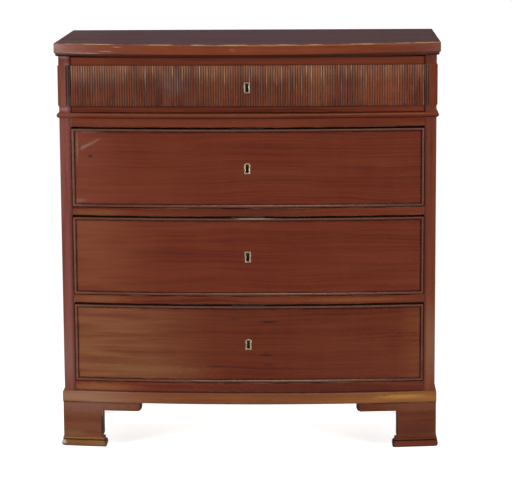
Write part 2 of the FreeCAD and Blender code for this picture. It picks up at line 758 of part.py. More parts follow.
def lock_case(drawer):
    """A box open towards the keyhole, a top plate slotted for the bolt, and the pin that the key turns on."""
    y = drawer.inner_y
    low = drawer.key_z - LOCK_BELOW_KEYHOLE
    half = LOCK_WIDTH / 2 - LOCK_WALL
    selvedge_low = drawer.front_high - SELVEDGE_THICK
    hollow = box(-half, half, y - LOCK_DEPTH, y - LOCK_WALL, low + LOCK_WALL, selvedge_low)
    slot_half = BOLT_WIDTH / 2 + BOLT_GAP
    slot_reach = BOLT_DEPTH / 2 + BOLT_GAP
    bolt_y = bolt_middle_y(drawer.bow)
    slot = box(-slot_half, slot_half, bolt_y - slot_reach, bolt_y + slot_reach, selvedge_low, drawer.front_high)
    head_z = drawer.key_z + KEYHOLE_LENGTH / 2 - KEYHOLE_RADIUS
    pin = Part.makeCylinder(DRILL_PIN_RADIUS, LOCK_DEPTH - LOCK_WALL, V(0, y - LOCK_DEPTH, head_z), V(0, 1, 0))
    return lock_space(drawer).cut(hollow).cut(slot).fuse(pin).removeSplitter()


def lock_bolt(drawer):
    """A flat tail over the key and the head that rises through the top plate."""
    y = bolt_middle_y(drawer.bow)
    high = drawer.front_high
    neck = high - SELVEDGE_THICK - BOLT_TRAVEL - BOLT_GAP
    half, tail_half = BOLT_WIDTH / 2, BOLT_TAIL_WIDTH / 2
    head = box(-half, half, y - BOLT_DEPTH / 2, y + BOLT_DEPTH / 2, neck, high)
    low = drawer.key_z + BOLT_OVER_KEYHOLE
    tail = box(-tail_half, tail_half, y - BOLT_TAIL_THICK / 2, y + BOLT_TAIL_THICK / 2, low, neck)
    return head.fuse(tail).removeSplitter()


def fluted_panel(drawer):
    """The strip of upright flutes laid on the frieze drawer's face."""
    bow = frieze_bow
    half = DRAWER_HALF - FLUTED_END_GAP
    count = int(2 * half // FLUTE_PITCH)
    margin = (2 * half - count * FLUTE_PITCH + FLUTE_PITCH - FLUTE_WIDTH) / 2
    z = FLUTED_LOW_Z
    proud = -FLUTED_PANEL_THICK

    def on_face(x, deep=0.0):
        return V(x, bow.y(x, proud + deep), z)

    edges = []
    here = -half
    for number in range(count):
        left = -half + margin + number * FLUTE_PITCH
        right = left + FLUTE_WIDTH
        edges.append(Part.LineSegment(on_face(here), on_face(left)).toShape())
        deepest = on_face((left + right) / 2, FLUTE_DEPTH)
        edges.append(Part.Arc(on_face(left), deepest, on_face(right)).toShape())
        here = right
    edges.append(Part.LineSegment(on_face(here), on_face(half)).toShape())
    edges.append(bow.line(half, bow.y(half, proud), half, bow.y(half), z))
    edges.append(bow.arc(half, -half, z))
    edges.append(bow.line(-half, bow.y(half), -half, bow.y(half, proud), z))
    panel = Part.Face(Part.Wire(edges)).extrude(V(0, 0, FLUTED_HIGH_Z - FLUTED_LOW_Z))
    return panel.cut(front_prism(*keyhole_outline(drawer.key_z, ESCUTCHEON_RIM), -FAR / 2, FAR / 2))


def drawer_front(drawer, sides, bottom, trim, face_y):
    """A bowed board with its sockets, groove, lock pocket and keyhole, cut to fit the trim on it."""
    board = drawer.bow.board(-DRAWER_HALF, DRAWER_HALF, 0, FRONT_THICK, drawer.front_low, drawer.front_high)
    keyhole = front_prism(*keyhole_outline(drawer.key_z), face_y - FRONT_THICK, drawer.inner_y)
    return board.cut([*sides, bottom, lock_space(drawer, FRONT_THICK), keyhole, *trim])


def drawer_pieces(name, drawer, fluted):
    """Every node of one drawer, by name."""
    sides = both_sides(drawer_side(drawer))
    bottom = drawer_bottom(drawer)
    pieces = {}
    if fluted:
        face_y = drawer.face_y - FLUTED_PANEL_THICK
        panel = fluted_panel(drawer)
        pieces[name + "_fluted_panel"] = panel
        rim = escutcheon(drawer, face_y)
        trim = [rim]
    else:
        face_y = drawer.face_y
        rim = escutcheon(drawer, face_y)
        beads = bead_strips(drawer)
        pieces[name + "_bead"] = beads
        trim = [rim, quirk(drawer), *beads]
    pieces[name + "_escutcheon"] = rim
    pieces[name + "_front"] = drawer_front(drawer, sides, bottom, trim, face_y)
    pieces[name + "_back"] = drawer_back(drawer, sides)
    pieces[name + "_sides"] = [side.cut(bottom) for side in sides]
    pieces[name + "_bottom"] = bottom
    pieces[name + "_lock"] = lock_case(drawer)
    pieces[name + "_bolt"] = lock_bolt(drawer)
    return pieces


# Assembly

def carcass_pieces():
    post, panel = corner_post(), side_panel()
    block = frieze_block(post)
    nails = back_nails()
    bracket = front_bracket_left()
    return {
        "top_board": top_board(),
        "bed_moulding": bed_moulding(),
        "side_panel_left": mirrored(panel),
        "side_panel_right": panel,
        "corner_post_left": mirrored(post),
        "corner_post_right": post,
        "frieze_block_left": mirrored(block),
        "frieze_block_right": block,
        "back_boards": [board.cut(nails) for board in back_boards()],
        "back_nails": nails,
        "top_back_rail": top_back_rail().cut(nails),
        "bottom_board": bottom_board().cut(nails),
        "bottom_rail": bottom_rail(),
        "lower_rail": rail(MIDDLE_Z - RAIL_THICK, MIDDLE_Z),
        "upper_rail": rail(UPPER_Z - RAIL_THICK, UPPER_Z),
        "waist_rail": rail(WAIST_RAIL_Z, FRIEZE_Z),
        "waist_moulding": waist_moulding(),
        "base_moulding": base_moulding(),
        "drawer_runners": drawer_runners(),
        "drawer_guides": drawer_guides(),
        "drawer_stops": drawer_stops(),
        "top_kickers": top_kickers(),
        "front_bracket_left": bracket,
        "front_bracket_right": mirrored(bracket),
        "side_brackets": both_sides(side_bracket_front()) + both_sides(side_bracket_rear()),
        "rear_brackets": both_sides(rear_bracket()),
        "foot_pads": both_sides(foot_pad(False)) + both_sides(foot_pad(True)),
        "foot_blocks": both_sides(foot_block_front()) + both_sides(foot_block_rear()),
    }


def all_pieces():
    pieces = carcass_pieces()
    frieze = Drawer(frieze_bow, FRIEZE_Z, FRIEZE_OPENING, KEYHOLE_DROP_IN_FRIEZE)
    pieces.update(drawer_pieces("frieze_drawer", frieze, True))
    for name, low in (("upper_drawer", UPPER_Z), ("middle_drawer", MIDDLE_Z), ("lower_drawer", LOWER_Z)):
        pieces.update(drawer_pieces(name, Drawer(case_bow, low, LONG_OPENING), False))
    return pieces


def main():
    os.makedirs("parts", exist_ok=True)
    for name, shape in all_pieces().items():
        solids = []
        for piece in shape if isinstance(shape, list) else [shape]:
            solids += piece.Solids
        node = solids[0] if len(solids) == 1 else Part.makeCompound(solids)
        node.exportStep(f"parts/{name}.step")
        valid = all(solid.isValid() for solid in solids)
        print(f"{name}: {len(solids)} solid(s), {node.Volume / 1000:.1f} cm3, valid {valid}")


main()
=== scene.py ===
# %% [markdown]
# # A bow front chest of drawers
# The object is an old mahogany chest: three long drawers under a shallow fluted drawer, on four
# bracket feet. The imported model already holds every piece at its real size, in metres, with the
# floor at z = 0 and the front facing -Y. This lesson gives those pieces their looks: eased arrises,
# brass and iron fittings, and finishes made only from shader nodes.

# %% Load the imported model
import json
from math import asin, cos, radians, sin, sqrt

import bmesh
import bpy
from mathutils import Matrix, Vector

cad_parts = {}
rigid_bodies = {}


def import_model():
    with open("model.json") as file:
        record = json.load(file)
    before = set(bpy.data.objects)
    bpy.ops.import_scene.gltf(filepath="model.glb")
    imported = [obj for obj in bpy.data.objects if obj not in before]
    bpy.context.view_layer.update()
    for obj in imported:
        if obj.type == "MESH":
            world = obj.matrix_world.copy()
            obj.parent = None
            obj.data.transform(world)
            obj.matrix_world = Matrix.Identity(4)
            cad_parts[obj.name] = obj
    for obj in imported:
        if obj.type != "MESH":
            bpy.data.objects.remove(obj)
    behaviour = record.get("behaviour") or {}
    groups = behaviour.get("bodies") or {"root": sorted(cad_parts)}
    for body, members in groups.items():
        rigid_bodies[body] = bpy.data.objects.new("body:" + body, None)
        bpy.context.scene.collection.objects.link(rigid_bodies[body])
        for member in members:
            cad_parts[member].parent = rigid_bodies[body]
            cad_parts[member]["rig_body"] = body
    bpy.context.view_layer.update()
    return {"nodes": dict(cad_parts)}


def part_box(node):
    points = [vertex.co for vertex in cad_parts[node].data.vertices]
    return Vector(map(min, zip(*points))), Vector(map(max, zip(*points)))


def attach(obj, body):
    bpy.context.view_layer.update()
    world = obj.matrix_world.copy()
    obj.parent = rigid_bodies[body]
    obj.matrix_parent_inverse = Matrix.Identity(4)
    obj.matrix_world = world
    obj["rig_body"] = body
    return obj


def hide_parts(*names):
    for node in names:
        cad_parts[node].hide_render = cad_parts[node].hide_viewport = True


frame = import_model()

# %% [markdown]
# ## The camera
# The photograph was taken from well back with a long lens, a little above the top of the chest and
# a little to its right. The lens is worked out in pixels of a 512 by 484 picture, and turned into
# Blender's millimetres. The lens axis meets the picture a little above its middle, which is what
# the camera's shift is for. The upright edges stay nearly parallel this way.

# %% Camera
IMAGE_WIDTH = 512
IMAGE_HEIGHT = 484
SENSOR_WIDTH = 36.0
FOCAL_PIXELS = 2153.9
AXIS_PIXEL = (250, 223)
EYE = Vector((0.202, -6.08, 1.61))
LOOK_DOWN = radians(9.37)
LOOK_LEFT = radians(1.91)
LEAN = radians(-0.38)


def put(name, data):
    """Puts an object in the scene that shows a mesh, a light or a camera."""
    thing = bpy.data.objects.new(name, data)
    bpy.context.scene.collection.objects.link(thing)
    return thing


lens = bpy.data.cameras.new("camera")
lens.sensor_fit = "HORIZONTAL"
lens.sensor_width = SENSOR_WIDTH
lens.lens = FOCAL_PIXELS * SENSOR_WIDTH / IMAGE_WIDTH
lens.shift_x = (IMAGE_WIDTH / 2 - AXIS_PIXEL[0]) / IMAGE_WIDTH
lens.shift_y = (AXIS_PIXEL[1] - IMAGE_HEIGHT / 2) / IMAGE_WIDTH
camera = put("camera", lens)
bpy.context.scene.camera = camera
turn = Matrix.Rotation(LOOK_LEFT, 4, "Z") @ Matrix.Rotation(radians(90) - LOOK_DOWN, 4, "X")
camera.matrix_world = Matrix.Translation(EYE) @ turn @ Matrix.Rotation(LEAN, 4, "Z")
print("lens", round(lens.lens, 1), "mm, shift", round(lens.shift_x, 4), round(lens.shift_y, 4))

# %% [markdown]
# ## Helpers for shader nodes
# A finish is a small graph of nodes. Building one by hand takes three lines for every node, so a
# few helpers make the lines below read like a recipe: place a node, feed its sockets, and get back
# the socket that carries the result. A socket knows the tree it is in, so a node made from sockets
# goes into the same tree.

# %% Placing nodes
def feed(socket, value):
    """Links another socket in, or sets a plain value. A colour is given as red, green and blue."""
    if isinstance(value, bpy.types.NodeSocket):
        socket.id_data.links.new(value, socket)
    elif socket.type == "RGBA":
        socket.default_value = (*value, 1)
    else:
        socket.default_value = value


def fill(node, inputs):
    """Feeds several inputs of a node, each given by its name or number."""
    for name, value in inputs.items():
        feed(node.inputs[name], value)
    return node


def place(kind, inputs, **settings):
    """Adds a node, with its settings and its inputs, to the tree that the inputs come from."""
    sources = [value for value in inputs.values() if isinstance(value, bpy.types.NodeSocket)]
    node = sources[0].id_data.nodes.new(kind)
    for name, value in settings.items():
        setattr(node, name, value)
    return fill(node, inputs)


def new_group(name, inputs, outputs):
    """An empty shader node group with its sockets, given as name and type."""
    tree = bpy.data.node_groups.new(name, "ShaderNodeTree")
    for way, sockets in (("INPUT", inputs), ("OUTPUT", outputs)):
        for label, kind in sockets:
            tree.interface.new_socket(label, in_out=way, socket_type="NodeSocket" + kind)
    return tree, tree.nodes.new("NodeGroupInput").outputs, tree.nodes.new("NodeGroupOutput").inputs


def use(group, inputs):
    """Places a group in a material or in another group."""
    return place("ShaderNodeGroup", inputs, node_tree=group).outputs


def new_finish(name):
    """A material with its Principled shader and the coordinates of the object it is on."""
    finish = bpy.data.materials.new(name)
    finish.use_nodes = True
    nodes = finish.node_tree.nodes
    where = nodes.new("ShaderNodeTexCoord").outputs["Object"]
    return finish, nodes["Principled BSDF"], where


print("nodes can be placed, grouped and used")

# %% Sums on sockets
def maths(operation, first, second=0.0):
    return place("ShaderNodeMath", {0: first, 1: second}, operation=operation).outputs[0]


def times(first, second):
    return maths("MULTIPLY", first, second)


def vectors(operation, first, second):
    return place("ShaderNodeVectorMath", {0: first, 1: second}, operation=operation).outputs[0]


def length(vector):
    return place("ShaderNodeVectorMath", {0: vector}, operation="LENGTH").outputs["Value"]


def axis(vector, name):
    return place("ShaderNodeSeparateXYZ", {0: vector}).outputs[name]


def fade(value, start, end, low=0.0, high=1.0):
    """Goes smoothly from low to high while value goes from start to end."""
    limits = {"Value": value, "From Min": start, "From Max": end, "To Min": low, "To Max": high}
    return place("ShaderNodeMapRange", limits, interpolation_type="SMOOTHSTEP").outputs["Result"]


def noise(vector, stretch, detail=2.0):
    """Noise whose lumps are 1 / stretch metres long, given for each axis or once for all three."""
    stretch = (stretch,) * 3 if isinstance(stretch, float) else stretch
    scaled = {"Vector": vectors("MULTIPLY", vector, stretch), "Scale": 1.0, "Detail": detail}
    return place("ShaderNodeTexNoise", scaled).outputs[0]


def tint(amount, under, over):
    """Lays one colour over another."""
    return place("ShaderNodeMix", {0: amount, 6: under, 7: over}, data_type="RGBA").outputs[2]


print("sums, fades, noise and tints ready")

# %% [markdown]
# ## The studio
# The photograph has a pure white ground and soft light from the front. A small pale floor takes the
# faint shadow of the feet and fades out into the white round it. Its glow is for the camera only,
# which a Light Path node tells it, so that it doesn't light the chest from below.

# %% Floor
FLOOR_REACH = (1.25, 0.95, 1.0)
FLOOR_SIDES = 128
FLOOR_GLOW = 0.75

shape = bmesh.new()
bmesh.ops.create_circle(shape, cap_ends=True, segments=FLOOR_SIDES, radius=1.0)
bmesh.ops.scale(shape, vec=FLOOR_REACH, verts=shape.verts)
floor_mesh = bpy.data.meshes.new("floor")
shape.to_mesh(floor_mesh)
shape.free()
floor = put("floor", floor_mesh)
paper, shader, where = new_finish("floor_paper")
mottled = tint(noise(where, 6.0), (0.8, 0.8, 0.8), (0.86, 0.86, 0.86))
seen = paper.node_tree.nodes.new("ShaderNodeLightPath").outputs["Is Camera Ray"]
edge_share = length(vectors("DIVIDE", where, FLOOR_REACH))
fill(shader, {
    "Base Color": mottled, "Roughness": 0.9, "Specular IOR Level": 0.0, "Emission Color": (1, 1, 1),
    "Emission Strength": times(seen, FLOOR_GLOW), "Alpha": fade(edge_share, 0.97, 0.6)})
floor_mesh.materials.append(paper)
print("floor", FLOOR_REACH[:2])

# %% [markdown]
# The world is white to the camera but dim to the wood, because polish would mirror a bright room as
# a grey veil. For the same reason no light stands behind the camera. Two large low ones stand at its
# left and right, as for copying a picture, so the top throws only a thin shadow on the frieze. The
# left one is cooler and lifts the left post. A small one overhead draws the light line along each
# bead, and four more keep the sides and the back readable. Those behind are kept out of glossy
# reflections, because seen from the front a polished top would mirror them as a white patch.

# %% World and lights
ROOM_COLOUR = (0.96, 0.94, 1.0)
ROOM_STRENGTH = 0.12
WHITE_GROUND = 1.05
AIM = Vector((0.0, 0.0, 0.6))


def softbox(name, position, width, height, power, colour, mirrored=True):
    """A large soft light that looks at the middle of the chest."""
    light = bpy.data.lights.new(name, "AREA")
    light.shape = "RECTANGLE"
    light.size = width
    light.size_y = height
    light.energy = power
    light.color = colour
    lamp = put(name, light)
    lamp.location = position
    lamp.visible_glossy = mirrored
    lamp.rotation_euler = (AIM - lamp.location).to_track_quat("-Z", "Y").to_euler()


world = bpy.data.worlds.new("studio")
bpy.context.scene.world = world
world.use_nodes = True
nodes = world.node_tree.nodes
seen = nodes.new("ShaderNodeLightPath").outputs["Is Camera Ray"]
room = fill(nodes.new("ShaderNodeBackground"), {"Color": ROOM_COLOUR, "Strength": ROOM_STRENGTH})
ground = fill(nodes.new("ShaderNodeBackground"), {"Color": (1, 1, 1), "Strength": WHITE_GROUND})
either = place("ShaderNodeMixShader", {0: seen, 1: room.outputs[0], 2: ground.outputs[0]})
feed(nodes["World Output"].inputs["Surface"], either.outputs[0])
bpy.context.scene.view_settings.view_transform = "Standard"

softbox("left_key_light", (-5.0, -4.0, 1.4), 1.6, 1.6, 268, (0.98, 0.97, 1.0))
softbox("right_key_light", (5.0, -4.0, 1.4), 1.6, 1.6, 250, (1.0, 0.96, 0.91))
softbox("overhead_light", (0.0, -1.6, 3.6), 2.4, 1.4, 34, (1.0, 0.97, 0.94))
softbox("left_light", (-3.6, -0.4, 1.4), 1.2, 1.8, 22, (0.92, 0.94, 1.0))
softbox("right_light", (3.6, -0.4, 1.4), 1.2, 1.8, 22, (1.0, 0.97, 0.94))
softbox("left_back_light", (-2.4, 3.4, 1.8), 1.4, 1.6, 68, (1.0, 0.98, 0.96), False)
softbox("right_back_light", (2.4, 3.4, 1.8), 1.4, 1.6, 68, (1.0, 0.98, 0.96), False)

# %% [markdown]
# ## Mahogany
# Mahogany is a red brown wood with long soft bands, finer streaks inside them, short dark pores
# and a faint ripple across the grain. The group below takes coordinates whose X runs along the
# grain, so that one group serves a rail, a post and the top. Each layer is the same noise, only
# stretched differently. A board number moves the pattern, so that no two boards look alike.

# %% Mahogany group
BOARD_STEP = (3.71, 1.37, 5.13)
TONES = ("Dark", "Body", "Pale")
WOOD_INPUTS = [("Vector", "Vector"), ("Board", "Float"), *((tone, "Color") for tone in TONES)]
SURFACE = [("Color", "Color"), ("Roughness", "Float"), ("Height", "Float")]


def on_board(given):
    """The coordinates given to a wood group, moved by the board's number."""
    return vectors("ADD", given["Vector"], vectors("MULTIPLY", given["Board"], BOARD_STEP))


mahogany, given, gives = new_group("mahogany", WOOD_INPUTS, SURFACE)
moved = on_board(given)
sway = maths("SUBTRACT", noise(moved, (2.2, 2.0, 5.0)), 0.5)
bent = vectors("ADD", moved, vectors("MULTIPLY", sway, (0.0, 0.0, 0.045)))
bands = fade(noise(bent, (0.9, 4.0, 45.0), 4.0), 0.3, 0.7)
streaks = fade(noise(bent, (2.5, 9.0, 190.0), 2.0), 0.34, 0.68)
pores = fade(noise(bent, (30.0, 40.0, 900.0), 1.0), 0.6, 0.72)
ripple = fade(noise(moved, (26.0, 6.0, 5.0), 1.0), 0.35, 0.75)
clouds = fade(noise(moved, (3.0, 3.0, 9.0), 2.0), 0.35, 0.7)
colour = tint(bands, given["Dark"], given["Body"])
for layer, share in ((clouds, 0.32), (streaks, 0.42), (ripple, 0.12)):
    colour = tint(times(layer, share), colour, given["Pale"])
feed(gives["Color"], tint(times(pores, 0.5), colour, given["Dark"]))
feed(gives["Roughness"], fade(maths("ADD", clouds, pores), 0.0, 2.0, 0.3, 0.5))
feed(gives["Height"], maths("SUBTRACT", times(streaks, 0.25), pores))
print("mahogany group:", len(mahogany.nodes), "nodes")

# %% [markdown]
# ## Wear, wax, painted light and marks
# Hands and cloths rub the polish off the arrises first. The eased edges made further below carry an
# attribute called arris that is 1 along the middle of each edge. This group breaks that line up
# with noise, so that some stretches are worn and others are not.

# %% Rubbed arris group
rubbed, given, gives = new_group(
    "rubbed arris", [("Vector", "Vector"), ("Least", "Float")], [("Mask", "Float")])
edge = rubbed.nodes.new("ShaderNodeAttribute")
edge.attribute_name = "arris"
patchy = noise(given["Vector"], 14.0, 3.0)
wide = maths("ADD", given["Least"], fade(patchy, 0.42, 0.66))
shares = {0: fade(edge.outputs["Fac"], 0.1, 0.8), 1: wide}
mask = place("ShaderNodeMath", shares, operation="MULTIPLY", use_clamp=True)
feed(gives["Mask"], mask.outputs[0])
print("rubbed arris group:", len(rubbed.nodes), "nodes")

# %% [markdown]
# Dark wax, which also serves as painted shade, stays in the hollows, and the noses of the beads are
# rubbed bare. On this chest depth is measured from a bowed face, so the group takes the bow's centre
# and radius and puts out how far a point stands proud of it. A bow is an arc: its radius follows
# from half its width and its rise.

# %% Bow group
bow_depth, given, gives = new_group(
    "proud of the bow", [("Vector", "Vector"), ("Centre", "Float"), ("Radius", "Float")],
    [("Proud", "Float")])
middle = place("ShaderNodeCombineXYZ", {"Y": given["Centre"]}).outputs[0]
apart = vectors("SUBTRACT", given["Vector"], middle)
level_reach = length(vectors("MULTIPLY", apart, (1, 1, 0)))
feed(gives["Proud"], maths("SUBTRACT", level_reach, given["Radius"]))


def proud_of(where, face):
    """How far a point stands proud of a bow, which is given by its centre and radius."""
    return use(bow_depth, {"Vector": where, "Centre": face[0], "Radius": face[1]})["Proud"]


def bow(half_width, rise, face):
    """Centre and radius of the bow whose middle is at y = face."""
    radius = (half_width ** 2 + rise ** 2) / (2 * rise)
    return face + radius, radius


CASE_HALF = 0.52
CASE_BOW = bow(CASE_HALF, 0.036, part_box("upper_rail")[0][1])
FRIEZE_BOW = bow(CASE_HALF, 0.022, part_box("frieze_drawer_front")[0][1])
print("bows, centre and radius:", [round(v, 3) for v in CASE_BOW + FRIEZE_BOW])

# %% [markdown]
# A scuff, a fleck, a painted highlight or a patch of painted shade is one soft ragged spot. Each is
# given by its place on the chest and its reach along the three axes, so long thin flecks and round
# marks come from the same group.

# %% Soft spot group
soft_spot, given, gives = new_group(
    "soft_spot", [("Vector", "Vector"), ("Centre", "Vector"), ("Reach", "Vector")], [("Mask", "Float")])
offset = vectors("SUBTRACT", given["Vector"], given["Centre"])
distance = length(vectors("DIVIDE", offset, given["Reach"]))
ragged = noise(given["Vector"], (70.0, 70.0, 300.0), 3.0)
uneven = maths("ADD", distance, maths("SUBTRACT", ragged, 0.5))
feed(gives["Mask"], fade(uneven, 1.0, 0.1))
print("smudge group:", len(soft_spot.nodes), "nodes")

# %% [markdown]
# The finishes below stack such effects on the wood. Each effect is a layer: a function that takes
# the colour so far and gives back the colour with the effect on it.

# %% Layers
# Dark wax, also used as painted shade in gaps, in hollows and on inner faces.
WAX_AND_SHADE = (0.012, 0.005, 0.004)
UNPOLISHED = (0.165, 0.07, 0.036)
FRONT_Y = -0.2
ANY_DEPTH = 1.0
EVERYWHERE = 2.0


def spot(x, z, reach_x, reach_z, colour, strength, slant=0.0):
    """A soft spot on the front, level or rising to the right by an angle, for marks and for painted
    highlights and shade.
    """
    def layer(where, under):
        centre, reach = (x, FRONT_Y, z), (reach_x, ANY_DEPTH, reach_z)
        if slant:
            turned = {"Vector": where, "Center": centre, "Angle": slant}
            where = place("ShaderNodeVectorRotate", turned, rotation_type="Y_AXIS").outputs[0]
        mask = use(soft_spot, {"Vector": where, "Centre": centre, "Reach": reach})["Mask"]
        return tint(times(mask, strength), under, colour)
    return layer


def on_both_sides(x, z, reach_x, reach_z, colour, strength):
    """The same spot on the left and on the right."""
    return [spot(side * x, z, reach_x, reach_z, colour, strength) for side in (-1, 1)]


def wax_and_shade_line(z, reach, strength):
    """A dark level line across the whole front: painted shade in a gap or under a ledge, in places
    with wax.
    """
    return spot(0.0, z, EVERYWHERE, reach, WAX_AND_SHADE, strength)


LEVEL_STREAKS = (4.0, 9.0, 60.0)
UPRIGHT_STREAKS = (60.0, 9.0, 4.0)
LEAST_STREAK = 0.35
LEAST_PATCH = 0.45


def drift(name, start, end, colour, strength, streaks=LEVEL_STREAKS):
    """A slow streaky change of colour between two places along one axis."""
    def layer(where, under):
        streaky = fade(noise(where, streaks, 3.0), 0.3, 0.64, LEAST_STREAK * strength, strength)
        share = fade(axis(where, name), start, end)
        return tint(times(share, streaky), under, colour)
    return layer


def by_depth(face, start, end, colour, strength):
    """A colour that comes in while the surface goes from one depth of a bow to another."""
    def layer(where, under):
        share = fade(proud_of(where, face), start, end)
        broken = fade(noise(where, 22.0, 3.0), 0.25, 0.6, LEAST_PATCH * strength, strength)
        return tint(times(share, broken), under, colour)
    return layer


print("layers: spot, wax_and_shade_line, drift, by_depth")

# %% [markdown]
# ## Wooden finishes
# Each mahogany finish places the group with its own three colours and its own direction of grain.
# A joiner runs the grain along the length of a piece: level in rails and drawer fronts, upright
# in posts and sides. Reordering the coordinates does that. The polish is a thin clear coat, so the
# shader's own coat is used for it, with fixed values.

# %% Mahogany finish
RED = ((0.06, 0.01, 0.005), (0.12, 0.021, 0.009), (0.185, 0.043, 0.015))
BARE_WOOD = (0.46, 0.27, 0.14)
COAT = 0.5
WORN_COAT = 0.08
COAT_ROUGHNESS = 0.16
GLOSS_LEVEL = 0.12
PORE_DEPTH = 0.0004
LEVEL = ("X", "Z", "Y")
UPRIGHT = ("Z", "X", "Y")
UPRIGHT_SIDE = ("Z", "Y", "X")
FLAT = ("X", "Y", "Z")
finishes = {}


def along_grain(where, along, across, depth):
    """Coordinates whose X runs along the grain and Z across it, from axes named X, Y and Z."""
    axes = place("ShaderNodeSeparateXYZ", {0: where}).outputs
    ordered = {"X": axes[along], "Y": axes[depth], "Z": axes[across]}
    return place("ShaderNodeCombineXYZ", ordered).outputs[0]


def wood_here(where, group, grain, board, colours):
    """Places a wood group, its three colours given from dark to pale."""
    vector = grain(where) if callable(grain) else along_grain(where, *grain)
    return use(group, {"Vector": vector, "Board": board, **dict(zip(TONES, colours))})


def dress(shader, colour, made, relief, strength, fixed):
    """Feeds the shader a colour, the roughness and fine relief that a group made, and fixed values."""
    height = {"Height": made["Height"], "Distance": relief, "Strength": strength}
    normal = place("ShaderNodeBump", height).outputs[0]
    surface = {"Base Color": colour, "Roughness": made["Roughness"], "Normal": normal}
    fill(shader, {**surface, **fixed})


def mahogany_finish(name, grain, board, colours=RED, least_wear=0.15, layers=(), coat=COAT):
    """Polished mahogany with layers over it, and bare wood along its worn arrises."""
    finish, shader, where = new_finish("mahogany_" + name)
    wood = wood_here(where, mahogany, grain, board, colours)
    colour = wood["Color"]
    for layer in layers:
        colour = layer(where, colour)
    worn = use(rubbed, {"Vector": where, "Least": least_wear})["Mask"]
    polish = {"Coat Weight": coat, "Coat Roughness": COAT_ROUGHNESS, "Specular IOR Level": GLOSS_LEVEL}
    dress(shader, tint(worn, colour, BARE_WOOD), wood, PORE_DEPTH, 0.5, polish)
    finishes[name] = finish


print("grain runs", LEVEL, UPRIGHT, UPRIGHT_SIDE, FLAT)

# %% [markdown]
# ### The top
# The upper face is dull and greyish from use, while the front edge is a red level-grained strip
# with a worn arris. One material serves both: below the arris it changes over to the edge's wood,
# and counts across the grain by height instead of depth.

# %% Top finish
TOP_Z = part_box("top_board")[1][2]
DULL = ((0.091, 0.017, 0.019), (0.128, 0.027, 0.028), (0.168, 0.045, 0.046))
DULL_COAT = 0.35
EDGE_RED = ((0.105, 0.02, 0.008), (0.17, 0.037, 0.014), (0.24, 0.066, 0.025))
SCUFF = (0.44, 0.27, 0.19)
EDGE_FROM = 0.0006
EDGE_TO = 0.0016


def below_arris(where):
    """0 on the upper face of the top and 1 on its edges."""
    return fade(axis(where, "Z"), TOP_Z - EDGE_FROM, TOP_Z - EDGE_TO)


def top_grain(where):
    """Grain along the top, and level on its edges."""
    axes = place("ShaderNodeSeparateXYZ", {0: where}).outputs
    turned = {0: below_arris(where), 2: axes["Y"], 3: axes["Z"]}
    across = place("ShaderNodeMix", turned, data_type="FLOAT").outputs[0]
    return place("ShaderNodeCombineXYZ", {"X": axes["X"], "Z": across}).outputs[0]


def level_edge(where, under):
    """The edge's own wood, below the arris."""
    edge_wood = wood_here(where, mahogany, LEVEL, 4.6, EDGE_RED)
    return tint(below_arris(where), under, edge_wood["Color"])


mahogany_finish("top", top_grain, 4.0, DULL, 0.05, [
    level_edge,
    drift("X", -0.34, -0.52, (0.225, 0.08, 0.056), 0.6),
    drift("X", 0.1, 0.48, (0.115, 0.018, 0.006), 0.8),
    spot(0.12, TOP_Z - 0.0032, 0.5, 0.0022, (0.4, 0.19, 0.075), 0.6),
    spot(-0.445, TOP_Z - 0.0265, 0.085, 0.003, (0.4, 0.26, 0.15), 0.8),
    spot(-0.352, TOP_Z - 0.008, 0.022, 0.0016, SCUFF, 0.7),
    spot(-0.386, TOP_Z - 0.02, 0.03, 0.002, SCUFF, 0.5),
    spot(-0.036, TOP_Z - 0.014, 0.012, 0.009, (0.33, 0.12, 0.045), 0.4)], DULL_COAT)
print("top finish, upper face at", round(TOP_Z, 4))

# %% [markdown]
# ### Case, base and feet
# Rails run level, posts and sides upright. The left post carries a painted lilac sheen of light on
# old polish, the right one is brownish low down. The base moulding is a yellower wood, golden at its
# right end, and the left foot is browner than the right one. Painted shade, with dirt and wax, draws
# a dark line in every joint that a cloth can't reach: under the drawers, beside them, and above and
# below the base. The inner faces of the feet and pads and the ends of the tongues are darkened as
# painted shade.

# %% Case finishes
RAIL_RED = ((0.068, 0.012, 0.006), (0.134, 0.024, 0.011), (0.205, 0.048, 0.018))
GOLD = ((0.095, 0.027, 0.009), (0.15, 0.042, 0.014), (0.215, 0.074, 0.023))
FOOT_RED = ((0.056, 0.012, 0.005), (0.092, 0.02, 0.008), (0.14, 0.038, 0.015))
ORANGE = (0.225, 0.08, 0.028)
LILAC_SHEEN = (0.25, 0.085, 0.072)
PALE_LILAC_HIGHLIGHT = (0.34, 0.19, 0.165)
BASE_UNDER, BASE_TOP = (corner[2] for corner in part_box("base_moulding"))
POST_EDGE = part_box("corner_post_right")[0][0]
BED_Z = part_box("bed_moulding")[0][2]
RAILS = ("bottom_rail", "lower_rail", "upper_rail")
# Painted shadow in the gaps under and over the drawers, and painted shade along the posts' inner
# edges.
shadow_under_drawers = [wax_and_shade_line(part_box(rail)[1][2], 0.003, 0.5) for rail in RAILS]
HIGHER_RAILS = ("lower_rail", "upper_rail", "waist_rail")
shadow_over_drawers = [wax_and_shade_line(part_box(rail)[0][2], 0.0024, 0.9) for rail in HIGHER_RAILS]
shade_beside_drawers = on_both_sides(POST_EDGE, 0.53, 0.003, EVERYWHERE, WAX_AND_SHADE, 0.5)
shaded_post_insides = on_both_sides(POST_EDGE, 0.53, 0.012, EVERYWHERE, (0.075, 0.017, 0.012), 0.7)
# A painted lilac sheen towards the left, as where light falls on old polish.
lilac_sheen_left = drift("X", -0.44, -0.5, LILAC_SHEEN, 0.6, UPRIGHT_STREAKS)

